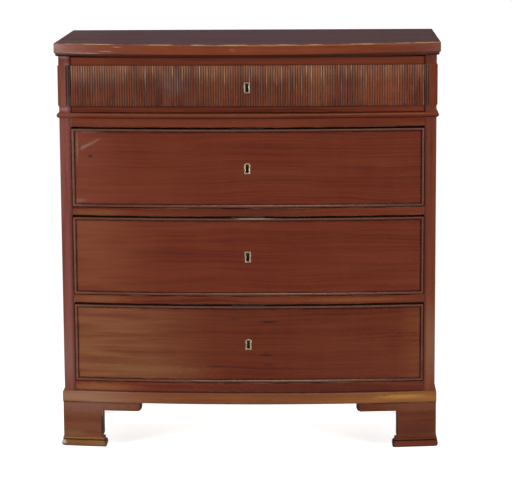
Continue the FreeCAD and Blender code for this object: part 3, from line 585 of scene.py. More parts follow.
# Painted shade on the inner faces of the feet and pads and at the ends of the tongues.
FOOT_EDGE = 0.4125
shaded_foot_insides = on_both_sides(FOOT_EDGE, 0.062, 0.0075, 0.06, WAX_AND_SHADE, 0.95)
TONGUE_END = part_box("front_bracket_right")[0][0]
shaded_tongue_ends = on_both_sides(TONGUE_END, 0.117, 0.0125, 0.04, WAX_AND_SHADE, 0.9)
PAD_EDGE = 0.402
PAD_GROOVE = 0.02
shaded_pad_insides = on_both_sides(PAD_EDGE, 0.0, 0.009, EVERYWHERE, WAX_AND_SHADE, 0.7)

# Painted shadow along the gaps over and under the drawers and above the base.
mahogany_finish("rail", LEVEL, 1.0, RAIL_RED, 0.0, [
    spot(-0.42, 0.424, 0.13, 0.02, ORANGE, 0.7),
    spot(-0.42, 0.668, 0.12, 0.014, ORANGE, 0.6),
    spot(0.3, 0.424, 0.2, 0.01, ORANGE, 0.6),
    spot(0.1, 0.172, 0.5, 0.03, (0.062, 0.011, 0.006), 0.7),
    spot(0.02, 0.672, 0.26, 0.03, (0.05, 0.013, 0.008), 0.3),
    spot(-0.42, 0.172, 0.16, 0.02, ORANGE, 0.8),
    wax_and_shade_line(BASE_TOP + 0.001, 0.005, 0.7),
    *shadow_under_drawers, *shadow_over_drawers])
# The bed moulding is painted dark all over, as the shadow under the top.
mahogany_finish("bed", LEVEL, 1.5, RED, 0.0, [
    spot(0.0, BED_Z, EVERYWHERE, EVERYWHERE, (0.03, 0.009, 0.006), 0.8)], WORN_COAT)
# On the waist moulding: a painted highlight along its upper round, painted shade along its lower edge,
# and a painted lilac sheen at the left end.
mahogany_finish("waist", LEVEL, 1.8, RED, 0.1, [
    spot(0.0, 0.9425, EVERYWHERE, 0.003, (0.24, 0.085, 0.03), 0.4),
    wax_and_shade_line(0.932, 0.0042, 0.55),
    drift("X", -0.44, -0.5, LILAC_SHEEN, 0.6)], WORN_COAT)
mahogany_finish("side", UPRIGHT_SIDE, 3.0)
# The left post has a painted lilac sheen and painted highlights near its top and at the foot of the
# block; its inner edges carry painted shade.
mahogany_finish("post", UPRIGHT, 2.0, RED, -0.6, [
    lilac_sheen_left,
    drift("X", 0.44, 0.5, (0.19, 0.055, 0.026), 0.5, UPRIGHT_STREAKS),
    spot(-0.505, 1.099, 0.03, 0.005, PALE_LILAC_HIGHLIGHT, 0.6),
    spot(-0.49, 1.08, 0.02, 0.004, PALE_LILAC_HIGHLIGHT, 0.6),
    spot(-0.505, 0.956, 0.03, 0.008, PALE_LILAC_HIGHLIGHT, 0.5),
    spot(-0.505, 0.26, 0.04, 0.14, (0.225, 0.12, 0.095), 0.5),
    spot(0.505, 0.3, 0.045, 0.16, (0.215, 0.11, 0.06), 0.6),
    *shaded_post_insides, *shade_beside_drawers])
# A painted shade line runs under the base moulding.
mahogany_finish("base", LEVEL, 6.0, GOLD, 0.25, [
    drift("X", -0.2, -0.48, (0.265, 0.135, 0.078), 0.85),
    drift("X", 0.1, 0.42, (0.3, 0.13, 0.032), 0.55),
    spot(0.43, 0.147, 0.11, 0.009, (0.4, 0.21, 0.05), 0.6),
    wax_and_shade_line(BASE_UNDER, 0.003, 0.5)])
# The feet carry painted shade on their inner faces, at the tongue ends and under the base moulding.
mahogany_finish("foot", LEVEL, 5.0, FOOT_RED, -0.25, [
    drift("X", 0.2, -0.2, (0.15, 0.05, 0.021), 0.8),
    spot(-0.47, 0.118, 0.2, 0.03, (0.185, 0.085, 0.062), 0.7),
    spot(-0.5, 0.038, 0.06, 0.016, (0.15, 0.072, 0.024), 0.7),
    spot(0.47, 0.118, 0.14, 0.024, (0.15, 0.055, 0.026), 0.7),
    spot(0.47, 0.05, 0.1, 0.035, (0.066, 0.016, 0.008), 0.7),
    *shaded_foot_insides, *shaded_tongue_ends,
    wax_and_shade_line(BASE_UNDER, 0.004, 0.8)], WORN_COAT)
# The pads carry painted shade on their inner sides and in the groove between their two layers.
mahogany_finish("pad", LEVEL, 5.5, FOOT_RED, 0.4, [
    drift("X", 0.2, -0.2, (0.215, 0.105, 0.034), 0.8),
    spot(-0.524, 0.014, 0.01, 0.009, (0.5, 0.43, 0.32), 0.8),
    *shaded_pad_insides,
    wax_and_shade_line(PAD_GROOVE, 0.0036, 0.8)], WORN_COAT)
print("case finishes:", sorted(finishes))

# %% [markdown]
# ### The frieze
# The fluted strip is upright grain. Its hollows are darkened with wax and painted shade, and the
# ribs between them are bright here and there, a painted glint that also stands for rubbed wear, most
# of all near the top. Brown, grey and golden stretches follow each other along it, because it was
# made up from short lengths. The two blocks on the posts have the same flutes, darker with wax and
# painted shade and not rubbed. Wax and painted shade also darken the field's upper and lower edge,
# and the band under the top is painted lighter against the top's shadow.

# %% Frieze finishes
FLUTED_LOW, FLUTED_HIGH = (corner[2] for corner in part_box("frieze_drawer_fluted_panel"))
PANEL_PROUD = 0.004
BLOCK_PROUD = 0.003
BLOCK_FLUTED_TO = 0.5005
FLUTE_RED = ((0.092, 0.017, 0.007), (0.168, 0.034, 0.012), (0.25, 0.066, 0.025))
UNEVEN = (0.062, 0.016, 0.009)
BROWN = (0.21, 0.055, 0.016)
GREY = (0.18, 0.09, 0.072)
GLINT = (0.52, 0.33, 0.18)


def bright_ribs(where, under):
    """A few ribs of the fluting, bright from the top down: a painted glint that also stands for rubbed
    wear.
    """
    chosen = fade(noise(where, (150.0, 0.0, 12.0), 2.0), 0.5, 0.72)
    height = fade(axis(where, "Z"), FLUTED_LOW + 0.03, FLUTED_HIGH - 0.01, 0.15, 1.0)
    rib = fade(proud_of(where, FRIEZE_BOW), PANEL_PROUD - 0.0005, PANEL_PROUD - 0.0001)
    return tint(times(times(chosen, height), rib), under, GLINT)


def uneven_ribs(where, under):
    """Some ribs took more stain than their neighbours."""
    tone = noise(where, (190.0, 0.0, 3.0), 2.0)
    return tint(fade(tone, 0.52, 0.36, 0.0, 0.6), under, UNEVEN)


def waxed_and_shaded_flutes(where, under):
    """Dark wax and painted shade in the flutes of the blocks, and none on their outer sides."""
    across = maths("ABSOLUTE", axis(where, "X"))
    inner = fade(across, BLOCK_FLUTED_TO + 0.0006, BLOCK_FLUTED_TO, 0.0, 0.9)
    hollow = fade(proud_of(where, CASE_BOW), BLOCK_PROUD - 0.0004, BLOCK_PROUD - 0.0016)
    return tint(times(hollow, inner), under, WAX_AND_SHADE)


# In the flutes: wax and painted shade in the hollows, painted glints on some ribs, and the strip
# lighter towards the top.
mahogany_finish("flutes", UPRIGHT, 7.0, FLUTE_RED, 0.1, [
    uneven_ribs,
    spot(-0.335, 1.02, 0.035, 0.1, BROWN, 0.7),
    spot(-0.202, 1.03, 0.055, 0.05, GREY, 0.8),
    spot(-0.42, 1.05, 0.14, 0.05, GREY, 0.5),
    spot(-0.08, 1.02, 0.1, 0.1, BROWN, 0.8),
    spot(0.08, 1.02, 0.06, 0.1, BROWN, 0.5),
    spot(0.195, 1.03, 0.055, 0.1, (0.26, 0.092, 0.028), 0.8),
    spot(0.37, 1.02, 0.11, 0.1, (0.29, 0.078, 0.026), 0.7),
    drift("Z", FLUTED_HIGH - 0.055, FLUTED_HIGH, (0.39, 0.165, 0.082), 0.8, UPRIGHT_STREAKS),
    by_depth(FRIEZE_BOW, PANEL_PROUD - 0.0006, PANEL_PROUD - 0.0016, WAX_AND_SHADE, 0.68),
    bright_ribs], WORN_COAT)
# The blocks carry the painted lilac sheen at the left, painted shade by the left block's inner edge,
# and wax and painted shade in their flutes.
mahogany_finish("block", UPRIGHT, 7.5, RED, 0.1, [
    lilac_sheen_left,
    spot(-0.489, 1.02, 0.016, EVERYWHERE, (0.06, 0.026, 0.03), 0.7),
    waxed_and_shaded_flutes], WORN_COAT)
# The band under the top is painted lighter against the top's shadow; wax and painted shade darken the
# field's lower and upper edge.
mahogany_finish("frieze", LEVEL, 8.0, RED, 0.05, [
    drift("Z", FLUTED_HIGH - 0.01, FLUTED_HIGH + 0.01, (0.19, 0.04, 0.017), 0.9),
    wax_and_shade_line(FLUTED_LOW - 0.001, 0.005, 0.6),
    wax_and_shade_line(FLUTED_HIGH + 0.001, 0.004, 0.4),
    by_depth(FRIEZE_BOW, -0.0035, -0.006, UNPOLISHED, 0.9)])
print("fluting from", round(FLUTED_LOW, 3), "to", round(FLUTED_HIGH, 3))

# %% [markdown]
# ### The long drawers
# The three fronts come from one log, painted lighter towards the left as a sheen of light from that
# side. The groove inside each bead and the edge of the field beside it are darkened with wax and
# painted shade, and behind the face the wood was never polished. Small flecks and scuffs sit where
# the photograph shows them. The beads carry painted highlights and painted shadow in the gaps.

# %% Long drawer finishes
DRAWER_RED = ((0.092, 0.015, 0.007), (0.122, 0.021, 0.009), (0.18, 0.04, 0.014))
DEEP_RED = ((0.074, 0.012, 0.006), (0.1, 0.018, 0.007), (0.155, 0.036, 0.013))
DARK_FLECK = (0.022, 0.008, 0.007)
SHEEN_AND_SCUFF = (0.27, 0.185, 0.155)
# Wax and painted shade in the groove beside each bead, and unpolished wood behind the face.
FRONT_LAYERS = [
    by_depth(CASE_BOW, -0.0002, -0.001, WAX_AND_SHADE, 0.45),
    by_depth(CASE_BOW, -0.0035, -0.006, UNPOLISHED, 0.9)]
FIELD_INSET = 0.009
WAX_REACH = 0.0042


def beside_bead(drawer):
    """Painted shade, with wax, darkening the field beside the bead and fading out over its edge."""
    low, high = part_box(drawer + "_drawer_front")
    middle_z = (low[2] + high[2]) / 2
    half_width = high[0] - FIELD_INSET
    half_height = high[2] - middle_z - FIELD_INSET

    def layer(where, under):
        across = maths("ABSOLUTE", axis(where, "X"))
        up = maths("ABSOLUTE", maths("SUBTRACT", axis(where, "Z"), middle_z))
        from_side = maths("SUBTRACT", across, half_width)
        from_rim = maths("SUBTRACT", up, half_height)
        past_edge = maths("MAXIMUM", from_side, from_rim)
        uneven = fade(noise(where, 30.0, 2.0), 0.3, 0.6, 0.1, 0.6)
        return tint(times(fade(past_edge, -WAX_REACH, 0.0), uneven), under, WAX_AND_SHADE)
    return layer


SCUFF_SLANT = radians(27)
# Each front is painted lighter towards the left, as a sheen of light from that side.
mahogany_finish("upper_drawer", LEVEL, 9.0, DRAWER_RED, 0.15, [
    drift("X", -0.3, -0.47, (0.2, 0.05, 0.026), 0.6),
    beside_bead("upper"),
    # A painted sheen round the left end of the upper front, then two scuffs and a dark fleck.
    spot(-0.44, 0.895, 0.055, 0.005, SHEEN_AND_SCUFF, 0.6),
    spot(-0.471, 0.85, 0.005, 0.07, SHEEN_AND_SCUFF, 0.32),
    spot(-0.466, 0.702, 0.026, 0.01, SHEEN_AND_SCUFF, 0.3),
    spot(-0.433, 0.8615, 0.044, 0.0058, SHEEN_AND_SCUFF, 0.42, SCUFF_SLANT),
    spot(-0.453, 0.851, 0.018, 0.0085, SHEEN_AND_SCUFF, 0.42, SCUFF_SLANT),
    spot(-0.4335, 0.826, 0.01, 0.007, DARK_FLECK, 0.7),
    *FRONT_LAYERS])
mahogany_finish("middle_drawer", LEVEL, 10.0, DRAWER_RED, 0.15, [
    drift("X", -0.2, -0.47, (0.21, 0.064, 0.028), 0.7),
    beside_bead("middle"),
    *FRONT_LAYERS])
mahogany_finish("lower_drawer", LEVEL, 11.0, DEEP_RED, 0.15, [
    drift("X", -0.06, -0.42, (0.225, 0.086, 0.036), 0.85),
    drift("X", 0.4, 0.48, (0.2, 0.066, 0.024), 0.45),
    spot(-0.3, 0.225, 0.26, 0.04, (0.2, 0.092, 0.034), 0.45),
    spot(0.055, 0.363, 0.034, 0.006, DARK_FLECK, 0.9),
    spot(0.05, 0.269, 0.026, 0.007, DARK_FLECK, 0.6),
    spot(-0.042, 0.371, 0.03, 0.006, (0.06, 0.018, 0.024), 0.7),
    spot(-0.09, 0.236, 0.034, 0.005, DARK_FLECK, 0.5),
    spot(0.057, 0.241, 0.028, 0.005, DARK_FLECK, 0.35),
    beside_bead("lower"),
    *FRONT_LAYERS])
BEAD_RED = ((0.05, 0.009, 0.006), (0.088, 0.016, 0.009), (0.13, 0.032, 0.015))
CREAM = (0.62, 0.48, 0.33)
BEAD_TOP = 0.0066
LONG_DRAWERS = ("upper_drawer", "middle_drawer", "lower_drawer")
FRONTS = [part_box(drawer + "_front") for drawer in LONG_DRAWERS]
MIDDLE_TOP = FRONTS[1][1][2]
# Painted highlights along the top of each lower bead, and painted shadow in the gap over each bead.
bead_highlights = [spot(0.1, low[2] + BEAD_TOP, 0.42, 0.0012, CREAM, 0.45) for low, high in FRONTS]
gap_shadows = [wax_and_shade_line(high[2], 0.0016, 0.9) for low, high in FRONTS]
# On the beads: wax and painted shade at their base, rubbed noses, painted shadow over each, and a
# painted highlight along the middle drawer's top bead.
mahogany_finish("bead", LEVEL, 12.0, BEAD_RED, 0.05, [
    drift("X", -0.4, -0.48, (0.19, 0.08, 0.05), 0.6),
    by_depth(CASE_BOW, 0.0012, 0.0002, WAX_AND_SHADE, 0.4),
    by_depth(CASE_BOW, 0.0026, 0.0036, (0.2, 0.09, 0.046), 0.5),
    *gap_shadows,
    spot(0.017, MIDDLE_TOP - 0.0012, 0.075, 0.002, (0.4, 0.31, 0.24), 0.8),
    *bead_highlights])
print("mahogany finishes:", len(finishes))

# %% [markdown]
# ## Pine
# The hidden parts are plain pine: yellow brown, with strong growth lines that swing round a knot
# here and there. A Voronoi pattern gives the knots their places, and the distance to the nearest
# one also pushes the growth lines aside. Back boards are darker from smoke and dust, most of all
# along the seams between them, and each is another board. One material serves them all: counting
# board widths along X gives the board's number, and folding X back and forth the nearest seam.

# %% Pine group and finishes
BOARD_TONES = 0.35
PINE_GLOSS = 0.25

pine, given, gives = new_group("pine", WOOD_INPUTS, SURFACE)
moved = on_board(given)
spread = {"Vector": vectors("MULTIPLY", moved, (2.6, 0.0, 6.5)), "Scale": 1.0}
apart = place("ShaderNodeTexVoronoi", spread).outputs["Distance"]
aside = times(fade(apart, 0.5, 0.02), 0.02)
sway = times(noise(moved, (1.6, 1.0, 4.0)), 0.06)
pushed = vectors("MULTIPLY", maths("ADD", aside, sway), (0, 0, 1))
bent = vectors("ADD", moved, pushed)
rings = fade(noise(bent, (0.5, 9.0, 70.0), 2.0), 0.38, 0.66)
fibres = fade(noise(bent, (9.0, 60.0, 420.0), 2.0), 0.35, 0.7)
knots = fade(apart, 0.085, 0.045)
colour = tint(rings, given["Pale"], given["Body"])
colour = tint(times(fibres, 0.35), colour, given["Dark"])
feed(gives["Color"], tint(times(knots, 0.85), colour, given["Dark"]))
feed(gives["Roughness"], fade(rings, 0.0, 1.0, 0.62, 0.5))
feed(gives["Height"], maths("SUBTRACT", times(rings, 0.5), fibres))


def pine_finish(name, grain, board, colours, board_width=None):
    """Bare pine, of one board or of several side by side."""
    finish, shader, where = new_finish(name)
    grime = fade(noise(where, 7.0, 4.0), 0.45, 0.75, 0.0, 0.45)
    if board_width:
        x = axis(where, "X")
        board = maths("FLOOR", maths("DIVIDE", x, board_width))
        from_seam = maths("PINGPONG", x, board_width / 2)
        grime = maths("MAXIMUM", grime, fade(from_seam, 0.012, 0.001, 0.0, 0.85))
        tone = place("ShaderNodeTexWhiteNoise", {"W": board}, noise_dimensions="1D")
        grime = maths("ADD", grime, times(tone.outputs["Value"], BOARD_TONES))
    wood = wood_here(where, pine, grain, board, colours)
    colour = tint(grime, wood["Color"], colours[0])
    dress(shader, colour, wood, PORE_DEPTH, 0.6, {"Specular IOR Level": PINE_GLOSS})
    finishes[name] = finish


BACK_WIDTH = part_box("back_boards")[1][0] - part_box("back_boards")[0][0]
BACK_BOARDS = 4
CLEAN_PINE = ((0.13, 0.06, 0.025), (0.25, 0.13, 0.055), (0.4, 0.24, 0.115))
SMOKED_PINE = ((0.055, 0.032, 0.018), (0.12, 0.07, 0.036), (0.19, 0.118, 0.064))
# Near black pine for the foot blocks, as painted shade for the insides of the feet.
SHADE_DARK_PINE = ((0.012, 0.007, 0.005), (0.026, 0.015, 0.009), (0.045, 0.027, 0.017))
LENGTHWAYS = ("Y", "Z", "X")
PINES = {
    "pine_level": (LEVEL, 1.0, CLEAN_PINE), "pine_flat": (FLAT, 2.0, CLEAN_PINE),
    "pine_side": (LENGTHWAYS, 3.0, CLEAN_PINE), "pine_foot": (UPRIGHT, 5.0, SHADE_DARK_PINE)}
for name, (grain, board, colours) in PINES.items():
    pine_finish(name, grain, board, colours)
pine_finish("pine_back", UPRIGHT, 4.0, SMOKED_PINE, BACK_WIDTH / BACK_BOARDS)
print("pine group:", len(pine.nodes), "nodes")

# %% [markdown]
# ## Brass and iron
# The keyholes are lined with brass that has gone pale and olive, bright only along its rim. The
# nails are dull iron with a little rust, and the locks are paler under a film of dust, which makes
# them less metallic. All are metal with a patchy tarnish, so they share one group.

# %% Tarnish group and metals
GRIT_DEPTH = 0.0001
RIM_WEAR = 0.5

tarnish, given, gives = new_group(
    "tarnish", [("Vector", "Vector"), ("Bright", "Color"), ("Dull", "Color")], SURFACE)
patches = fade(noise(given["Vector"], 140.0, 4.0), 0.38, 0.62)
grit = noise(given["Vector"], 900.0, 2.0)
feed(gives["Color"], tint(patches, given["Bright"], given["Dull"]))
feed(gives["Roughness"], fade(maths("ADD", patches, grit), 0.2, 1.6, 0.3, 0.62))
feed(gives["Height"], grit)


def metal_finish(name, bright, dull, rim, metallic=1.0):
    """Tarnished metal, brighter along its rubbed rim."""
    finish, shader, where = new_finish(name)
    metal = use(tarnish, {"Vector": where, "Bright": bright, "Dull": dull})
    worn = use(rubbed, {"Vector": where, "Least": RIM_WEAR})["Mask"]
    colour = tint(worn, metal["Color"], rim)
    dress(shader, colour, metal, GRIT_DEPTH, 0.4, {"Metallic": metallic})
    finishes[name] = finish


DUSTY = 0.45
metal_finish("brass", (0.74, 0.62, 0.4), (0.44, 0.36, 0.21), (0.92, 0.82, 0.58))
metal_finish("iron", (0.17, 0.17, 0.15), (0.075, 0.06, 0.046), (0.3, 0.3, 0.28))
metal_finish("lock", (0.4, 0.4, 0.34), (0.3, 0.285, 0.23), (0.46, 0.46, 0.41), DUSTY)
print("all finishes:", len(finishes))

# %% [markdown]
# ## Easing the arrises
# A plane leaves a sharp arris and years of use round it. In Blender a sharp edge never catches a
# highlight, so each outer piece gets a copy of its own mesh with narrow rounded edges. The copy is
# loose triangles at first, so it is welded, its flat triangles are joined back into faces, and the
# outward edges are bevelled. Where two strips meet in a mitre the shading has to break, so those
# edges are marked sharp. The copy then stands in for the piece.

# %% Easing helpers
WELD = 0.00001
FLAT_ANGLE = radians(0.08)
SHARP_ANGLE = radians(28)
CREASE_ANGLE = radians(50)
pieces = {}


def stand_in(shape, name, node, finish, instead=True):
    """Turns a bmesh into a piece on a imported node's body, which is shown instead of the node."""
    for face in shape.faces:
        face.smooth = True
    for edge in shape.edges:
        edge.smooth = edge.is_manifold and edge.calc_face_angle() < CREASE_ANGLE
    mesh = bpy.data.meshes.new(name)
    shape.to_mesh(mesh)
    shape.free()
    piece = put(name, mesh)
    mesh.materials.append(finishes[finish])
    piece.modifiers.new("even_shading", "WEIGHTED_NORMAL").keep_sharp = True
    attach(piece, frame["nodes"][node]["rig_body"])
    if instead:
        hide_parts(node)
        pieces[node] = piece
    return piece


def bevel(shape, geom, width, segments, affect="EDGES"):
    return bmesh.ops.bevel(shape, geom=geom, offset=width, offset_type="OFFSET", segments=segments,
                           profile=0.5, affect=affect, clamp_overlap=True, material=-1)


def only_verts(geom):
    return [v for v in geom if isinstance(v, bmesh.types.BMVert)]


def round_edges(shape, edges, width, segments=2):
    """Bevels the edges and notes in the arris attribute where the new roundings are."""
    arris = shape.verts.layers.float.new("arris")
    rounding = shape.faces.layers.int.new("rounding")
    for face in bevel(shape, edges, width, segments)["faces"]:
        face[rounding] = 1
    bmesh.ops.dissolve_degenerate(shape, dist=WELD, edges=shape.edges)
    for vert in shape.verts:
        vert[arris] = float(all(face[rounding] for face in vert.link_faces))
    shape.faces.layers.int.remove(rounding)


def eased(node, width, finish):
    """A copy of a piece, shaded smoothly, with its outward edges rounded if a width is given."""
    shape = bmesh.new()
    shape.from_mesh(frame["nodes"][node].data)
    bmesh.ops.remove_doubles(shape, verts=shape.verts, dist=WELD)
    bmesh.ops.dissolve_limit(shape, angle_limit=FLAT_ANGLE, verts=shape.verts, edges=shape.edges)
    if width:
        outward = [e for e in shape.edges if e.is_manifold and e.is_convex]
        round_edges(shape, [e for e in outward if e.calc_face_angle() > SHARP_ANGLE], width)
    stand_in(shape, node + "_eased", node, finish)


print("edges sharper than", round(SHARP_ANGLE, 2), "radians are eased")

# %% Eased pieces
EASED = [
    (0.001, "side", ["side_panel_left", "side_panel_right"]),
    (0.001, "post", ["corner_post_left", "corner_post_right"]),
    (0.0003, "block", ["frieze_block_left", "frieze_block_right"]),
    (0.0008, "rail", ["bottom_rail", "lower_rail", "upper_rail", "waist_rail"]),
    (0.0, "waist", ["waist_moulding"]),
    (0.0006, "base", ["base_moulding"]),
    (0.0012, "foot", ["front_bracket_left", "front_bracket_right", "side_brackets"]),
    (0.0005, "frieze", ["frieze_drawer_front"]),
    (0.0003, "flutes", ["frieze_drawer_fluted_panel"]),
    *((0.0005, drawer, [drawer + "_front"]) for drawer in LONG_DRAWERS),
    (0.0002, "bead", [drawer + "_bead" for drawer in LONG_DRAWERS]),
]
for width, finish, nodes in EASED:
    for node in nodes:
        eased(node, width, finish)
eased("back_boards", 0.0012, "pine_back")
for node, piece in pieces.items():
    print(node, len(piece.data.polygons), "faces")

# %% [markdown]
# ## Boards with a bowed edge
# A rounded edge that follows a bow needs an even mesh, or the light breaks along it. So the top and
# the pads are drawn again from their outlines: points along the bow, then the corners behind. The
# outline is filled and extruded, and only the rims of its two faces are rounded, as a plane would
# do it. Edges that stand against the wall or inside a foot are listed last and stay square.

# %% Bowed board helpers
def along_bow(face, left, right, steps):
    """Points along a bow, given by its centre and radius, evenly spaced from left to right."""
    centre_y, radius = face
    first, last = asin(left / radius), asin(right / radius)
    angles = [first + (last - first) * step / steps for step in range(steps + 1)]
    return [(radius * sin(angle), centre_y - radius * cos(angle)) for angle in angles]


def board_from(shape, outer, inner, low, high):
    """Extrudes an outline, and gives back the rims to round: all but those between inner points."""
    bottom = shape.faces.new([shape.verts.new((x, y, low)) for x, y in outer + inner])
    made = bmesh.ops.extrude_face_region(shape, geom=[bottom])["geom"]
    bmesh.ops.translate(shape, vec=(0, 0, high - low), verts=only_verts(made))
    bmesh.ops.recalc_face_normals(shape, faces=shape.faces)
    both = [bottom] + [f for f in made if isinstance(f, bmesh.types.BMFace)]
    square = [Vector(point) for point in inner]
    behind = {v for f in both for v in f.verts if any((v.co.xy - p).length < WELD for p in square)}
    return [e for f in both for e in f.edges if not behind.issuperset(e.verts)]


print("boards can be drawn from bowed outlines")

# %% [markdown]
# The top is the largest smooth surface. Its back edge stays square against the wall. No cloth or
# hand reaches the lower rim, so it isn't marked as worn.

# %% Top board
TOP_RISE = 0.08
TOP_ROUND = 0.0025
TOP_STEPS = 72
TOP_SEGMENTS = 4

low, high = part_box("top_board")
shape = bmesh.new()
front_edge = along_bow(bow(high[0], TOP_RISE, low[1]), low[0], high[0], TOP_STEPS)
back_corners = [(high[0], high[1]), (low[0], high[1])]
rims = board_from(shape, front_edge, back_corners, low[2], high[2])
round_edges(shape, rims, TOP_ROUND, TOP_SEGMENTS)
arris = shape.verts.layers.float["arris"]
for vert in shape.verts:
    vert[arris] *= vert.co.z > (low[2] + high[2]) / 2
stand_in(shape, "top_board_bowed", "top_board", "top")
print("top board:", len(pieces["top_board"].data.polygons), "faces")

# %% [markdown]
# Each pad is two layers: a thick roll on the floor and a thin lip over it. A joiner would run
# both as one moulding and mitre it round the foot. Under a front foot the pad is a strip that
# turns the corner, and under a rear foot a plain block with its back to the wall.

# %% Pads
PAD_LAYERS = ((0.000, 0.02, 0.0055, 0.011, 0.0085), (0.02, 0.027, 0.0025, 0.005, 0.00315))
FOOT_WIDTH = 0.112
REAR_FOOT_WIDTH = 0.07
PAD_STRIP = 0.032
PAD_STEPS = 12
PAD_SEGMENTS = 6

pad_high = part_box("foot_pads")[1]
foot_half = pad_high[0] - PAD_LAYERS[0][2]
projection = foot_half - CASE_HALF
foot_front = CASE_BOW[0] - sqrt(CASE_BOW[1] ** 2 - CASE_HALF ** 2) - projection
strip_x = foot_half - PAD_STRIP
strip_radius = CASE_BOW[1] + projection - PAD_STRIP
strip_y = CASE_BOW[0] - sqrt(strip_radius ** 2 - (foot_half - FOOT_WIDTH) ** 2)
shape = bmesh.new()
for low, high, flare, inner_flare, rounding in PAD_LAYERS:
    right = foot_half + flare
    left = foot_half - FOOT_WIDTH - inner_flare
    back = foot_front + FOOT_WIDTH + flare
    face = (CASE_BOW[0], CASE_BOW[1] + projection + flare)
    front_pad = (along_bow(face, left, right, PAD_STEPS) + [(right, back)],
                 [(strip_x, back), (strip_x, strip_y), (left, strip_y)])
    rear_left = foot_half - REAR_FOOT_WIDTH - flare
    rear_front = pad_high[1] - FOOT_WIDTH - flare
    rear_pad = ([(rear_left, rear_front), (right, rear_front)],
                [(right, pad_high[1]), (rear_left, pad_high[1])])
    for side in (-1, 1):
        for outer, inner in (front_pad, rear_pad):
            outer = [(side * x, y) for x, y in outer]
            inner = [(side * x, y) for x, y in inner]
            rims = board_from(shape, outer, inner, low, high)
            bevel(shape, rims, rounding, PAD_SEGMENTS)
stand_in(shape, "foot_pads_moulded", "foot_pads", "pad")
print("pads:", len(pieces["foot_pads"].data.polygons), "faces")

# %% [markdown]
# ## Escutcheons
# Each keyhole has a brass rim let into the wood and standing a little proud. The four differ as the
# photograph shows: square ones with a slight waist, one with an arched head, one shaped like the
# keyhole itself. A rim starts as an outline of a few corners. Some corners are rounded by a vertex
# bevel, an inset leaves the rim's width, the middle is taken out, and extruding gives the depth.

# %% Escutcheons
RIM_WIDTH = 0.0033
RIM_ROUNDING = 0.0007
RIM_SEGMENTS = 3
CORNER_SEGMENTS = 6
SQUARE = [(0.0083, -0.0151, 0.0), (0.0079, 0.0, 0.004), (0.0083, 0.0151, 0.0)]
ARCHED = [(0.0081, -0.0151, 0.0), (0.0083, 0.0151, 0.0078)]
KEYHOLE = [(0.0085, -0.0151, 0.0), (0.0075, -0.001, 0.004), (0.0086, 0.0151, 0.0078)]
ESCUTCHEONS = {
    "frieze_drawer": SQUARE, "upper_drawer": ARCHED, "middle_drawer": SQUARE, "lower_drawer": KEYHOLE}


def brass_rim(drawer, corners):
    """The escutcheon of a drawer from the corners of its right half: across, up and rounding."""
    node = drawer + "_escutcheon"
    low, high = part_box(node)
    middle_z = (low[2] + high[2]) / 2
    shape = bmesh.new()
    outline = corners + [(-x, z, rounding) for x, z, rounding in reversed(corners)]
    verts = [shape.verts.new((x, low[1], middle_z + z)) for x, z, rounding in outline]
    bmesh.ops.contextual_create(shape, geom=verts)
    for vert, (x, z, rounding) in zip(verts, outline):
        if rounding:
            bevel(shape, [vert], rounding, CORNER_SEGMENTS, "VERTICES")
    bmesh.ops.remove_doubles(shape, verts=shape.verts, dist=WELD)
    middle = shape.faces[:]
    bmesh.ops.inset_region(shape, faces=middle, thickness=RIM_WIDTH, use_even_offset=True,
                           use_boundary=True)
    bmesh.ops.delete(shape, geom=middle, context="FACES")
    made = bmesh.ops.extrude_face_region(shape, geom=shape.faces[:])
    bmesh.ops.translate(shape, vec=(0, high[1] - low[1], 0), verts=only_verts(made["geom"]))
    bmesh.ops.recalc_face_normals(shape, faces=shape.faces)
    front = [e for e in shape.edges if e.calc_face_angle() > SHARP_ANGLE
             and all(v.co.y < low[1] + WELD for v in e.verts)]
    round_edges(shape, front, RIM_ROUNDING, RIM_SEGMENTS)
    piece = stand_in(shape, node + "_rim", node, "brass")
    print(piece.name, len(piece.data.polygons), "faces")


for drawer, corners in ESCUTCHEONS.items():
    brass_rim(drawer, corners)

# %% [markdown]
# ## Lock screws
# With a drawer open, the lock's top plate and the back of its case can be seen, held by slotted
# iron screws. One screw head is a disc cut twice beside its middle, its slot pressed down and its
# rim drawn down. Copies of it are then turned, no two alike, and set in their places.

# %% One screw head
HEAD_RADIUS = 0.0031
HEAD_SIDES = 20
HEAD_THICK = 0.0004
SLOT_HALF = 0.0004
SLOT_DEPTH = 0.0003

shape = bmesh.new()
bmesh.ops.create_circle(shape, cap_ends=True, segments=HEAD_SIDES, radius=HEAD_RADIUS)
for x in (-SLOT_HALF, SLOT_HALF):
    everything = shape.verts[:] + shape.edges[:] + shape.faces[:]
    bmesh.ops.bisect_plane(shape, geom=everything, plane_co=(x, 0, 0), plane_no=(1, 0, 0))
slot_faces = [f for f in shape.faces if abs(f.calc_center_median().x) < SLOT_HALF]
made = bmesh.ops.extrude_face_region(shape, geom=slot_faces)
bmesh.ops.delete(shape, geom=[f for f in slot_faces if f.is_valid], context="FACES_ONLY")
bmesh.ops.translate(shape, vec=(0, 0, -SLOT_DEPTH), verts=only_verts(made["geom"]))
rim = [e for e in shape.edges if e.is_boundary]
made = bmesh.ops.extrude_edge_only(shape, edges=rim)
for vert in only_verts(made["geom"]):
    vert.co.z = -HEAD_THICK
bmesh.ops.holes_fill(shape, edges=[e for e in shape.edges if e.is_boundary])
bmesh.ops.recalc_face_normals(shape, faces=shape.faces)
screw_mesh = bpy.data.meshes.new("screw_head")
shape.to_mesh(screw_mesh)
shape.free()
print("screw head:", len(screw_mesh.polygons), "faces")

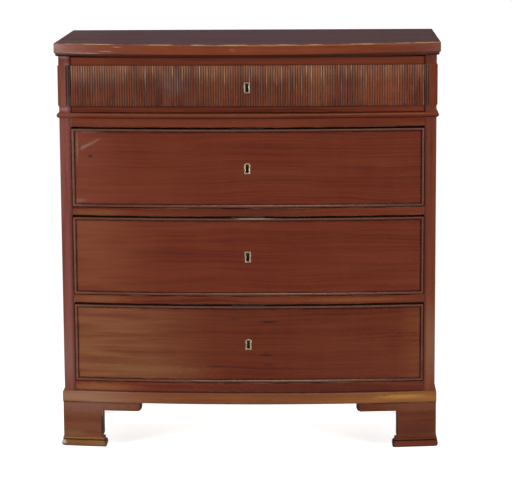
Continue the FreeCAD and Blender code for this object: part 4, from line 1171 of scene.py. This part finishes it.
# %% Screws on each lock
HEAD_PROUD = 0.0001
PLATE_HALF = 0.038
PLATE_SETBACK = 0.0105
CASE_SIDE = 0.028
CASE_MARGIN = 0.009
FACE_BACK = Matrix.Rotation(radians(-90), 4, "X")
NEXT_SCREW = 67
NEXT_LOCK = 31


def lock_screws(drawer, first_turn):
    """Two screws in a lock's top plate and four in the back of its case."""
    node = drawer + "_lock"
    low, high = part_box(node)
    plate_y = high[1] - PLATE_SETBACK
    seats = []
    for x in (-PLATE_HALF, PLATE_HALF):
        seats.append((Vector((x, plate_y, high[2] + HEAD_PROUD)), Matrix()))
    for x in (-CASE_SIDE, CASE_SIDE):
        for z in (low[2] + CASE_MARGIN, high[2] - 2 * CASE_MARGIN):
            seats.append((Vector((x, high[1] + HEAD_PROUD, z)), FACE_BACK))
    shape = bmesh.new()
    for number, (seat, facing) in enumerate(seats):
        before = len(shape.verts)
        shape.from_mesh(screw_mesh)
        shape.verts.ensure_lookup_table()
        turned = Matrix.Rotation(radians(first_turn + NEXT_SCREW * number), 4, "Z")
        seated = Matrix.Translation(seat) @ facing @ turned
        bmesh.ops.transform(shape, matrix=seated, verts=shape.verts[before:])
    return stand_in(shape, node + "_screws", node, "lock", instead=False)


screws = [lock_screws(drawer, NEXT_LOCK * number) for number, drawer in enumerate(ESCUTCHEONS)]
print("lock screws:", [piece.name for piece in screws])

# %% [markdown]
# ## Pieces that keep their own mesh
# Runners, drawer sides, locks and the other hidden parts are right as they come, and so is the bed
# moulding, whose round is already modelled. They only get a finish.

# %% Plain pieces
PLAIN_FINISHES = {
    "bed": ("bed_moulding",), "lock": ("lock", "bolt"), "iron": ("nails",),
    "pine_foot": ("foot_blocks",), "pine_back": ("rear_brackets",),
    "pine_side": ("sides", "runners", "guides", "kickers"), "pine_flat": ("bottom", "bottom_board")}


def finish_for(node):
    """The finish of a plain piece, found by the end of its name, or else pine with level grain."""
    found = [finish for finish, endings in PLAIN_FINISHES.items() if node.endswith(endings)]
    return found[0] if found else "pine_level"


plain = [node for node in frame["nodes"] if node not in pieces]
for node in plain:
    frame["nodes"][node].data.materials[0] = finishes[finish_for(node)]
print("plain pieces:", len(plain))
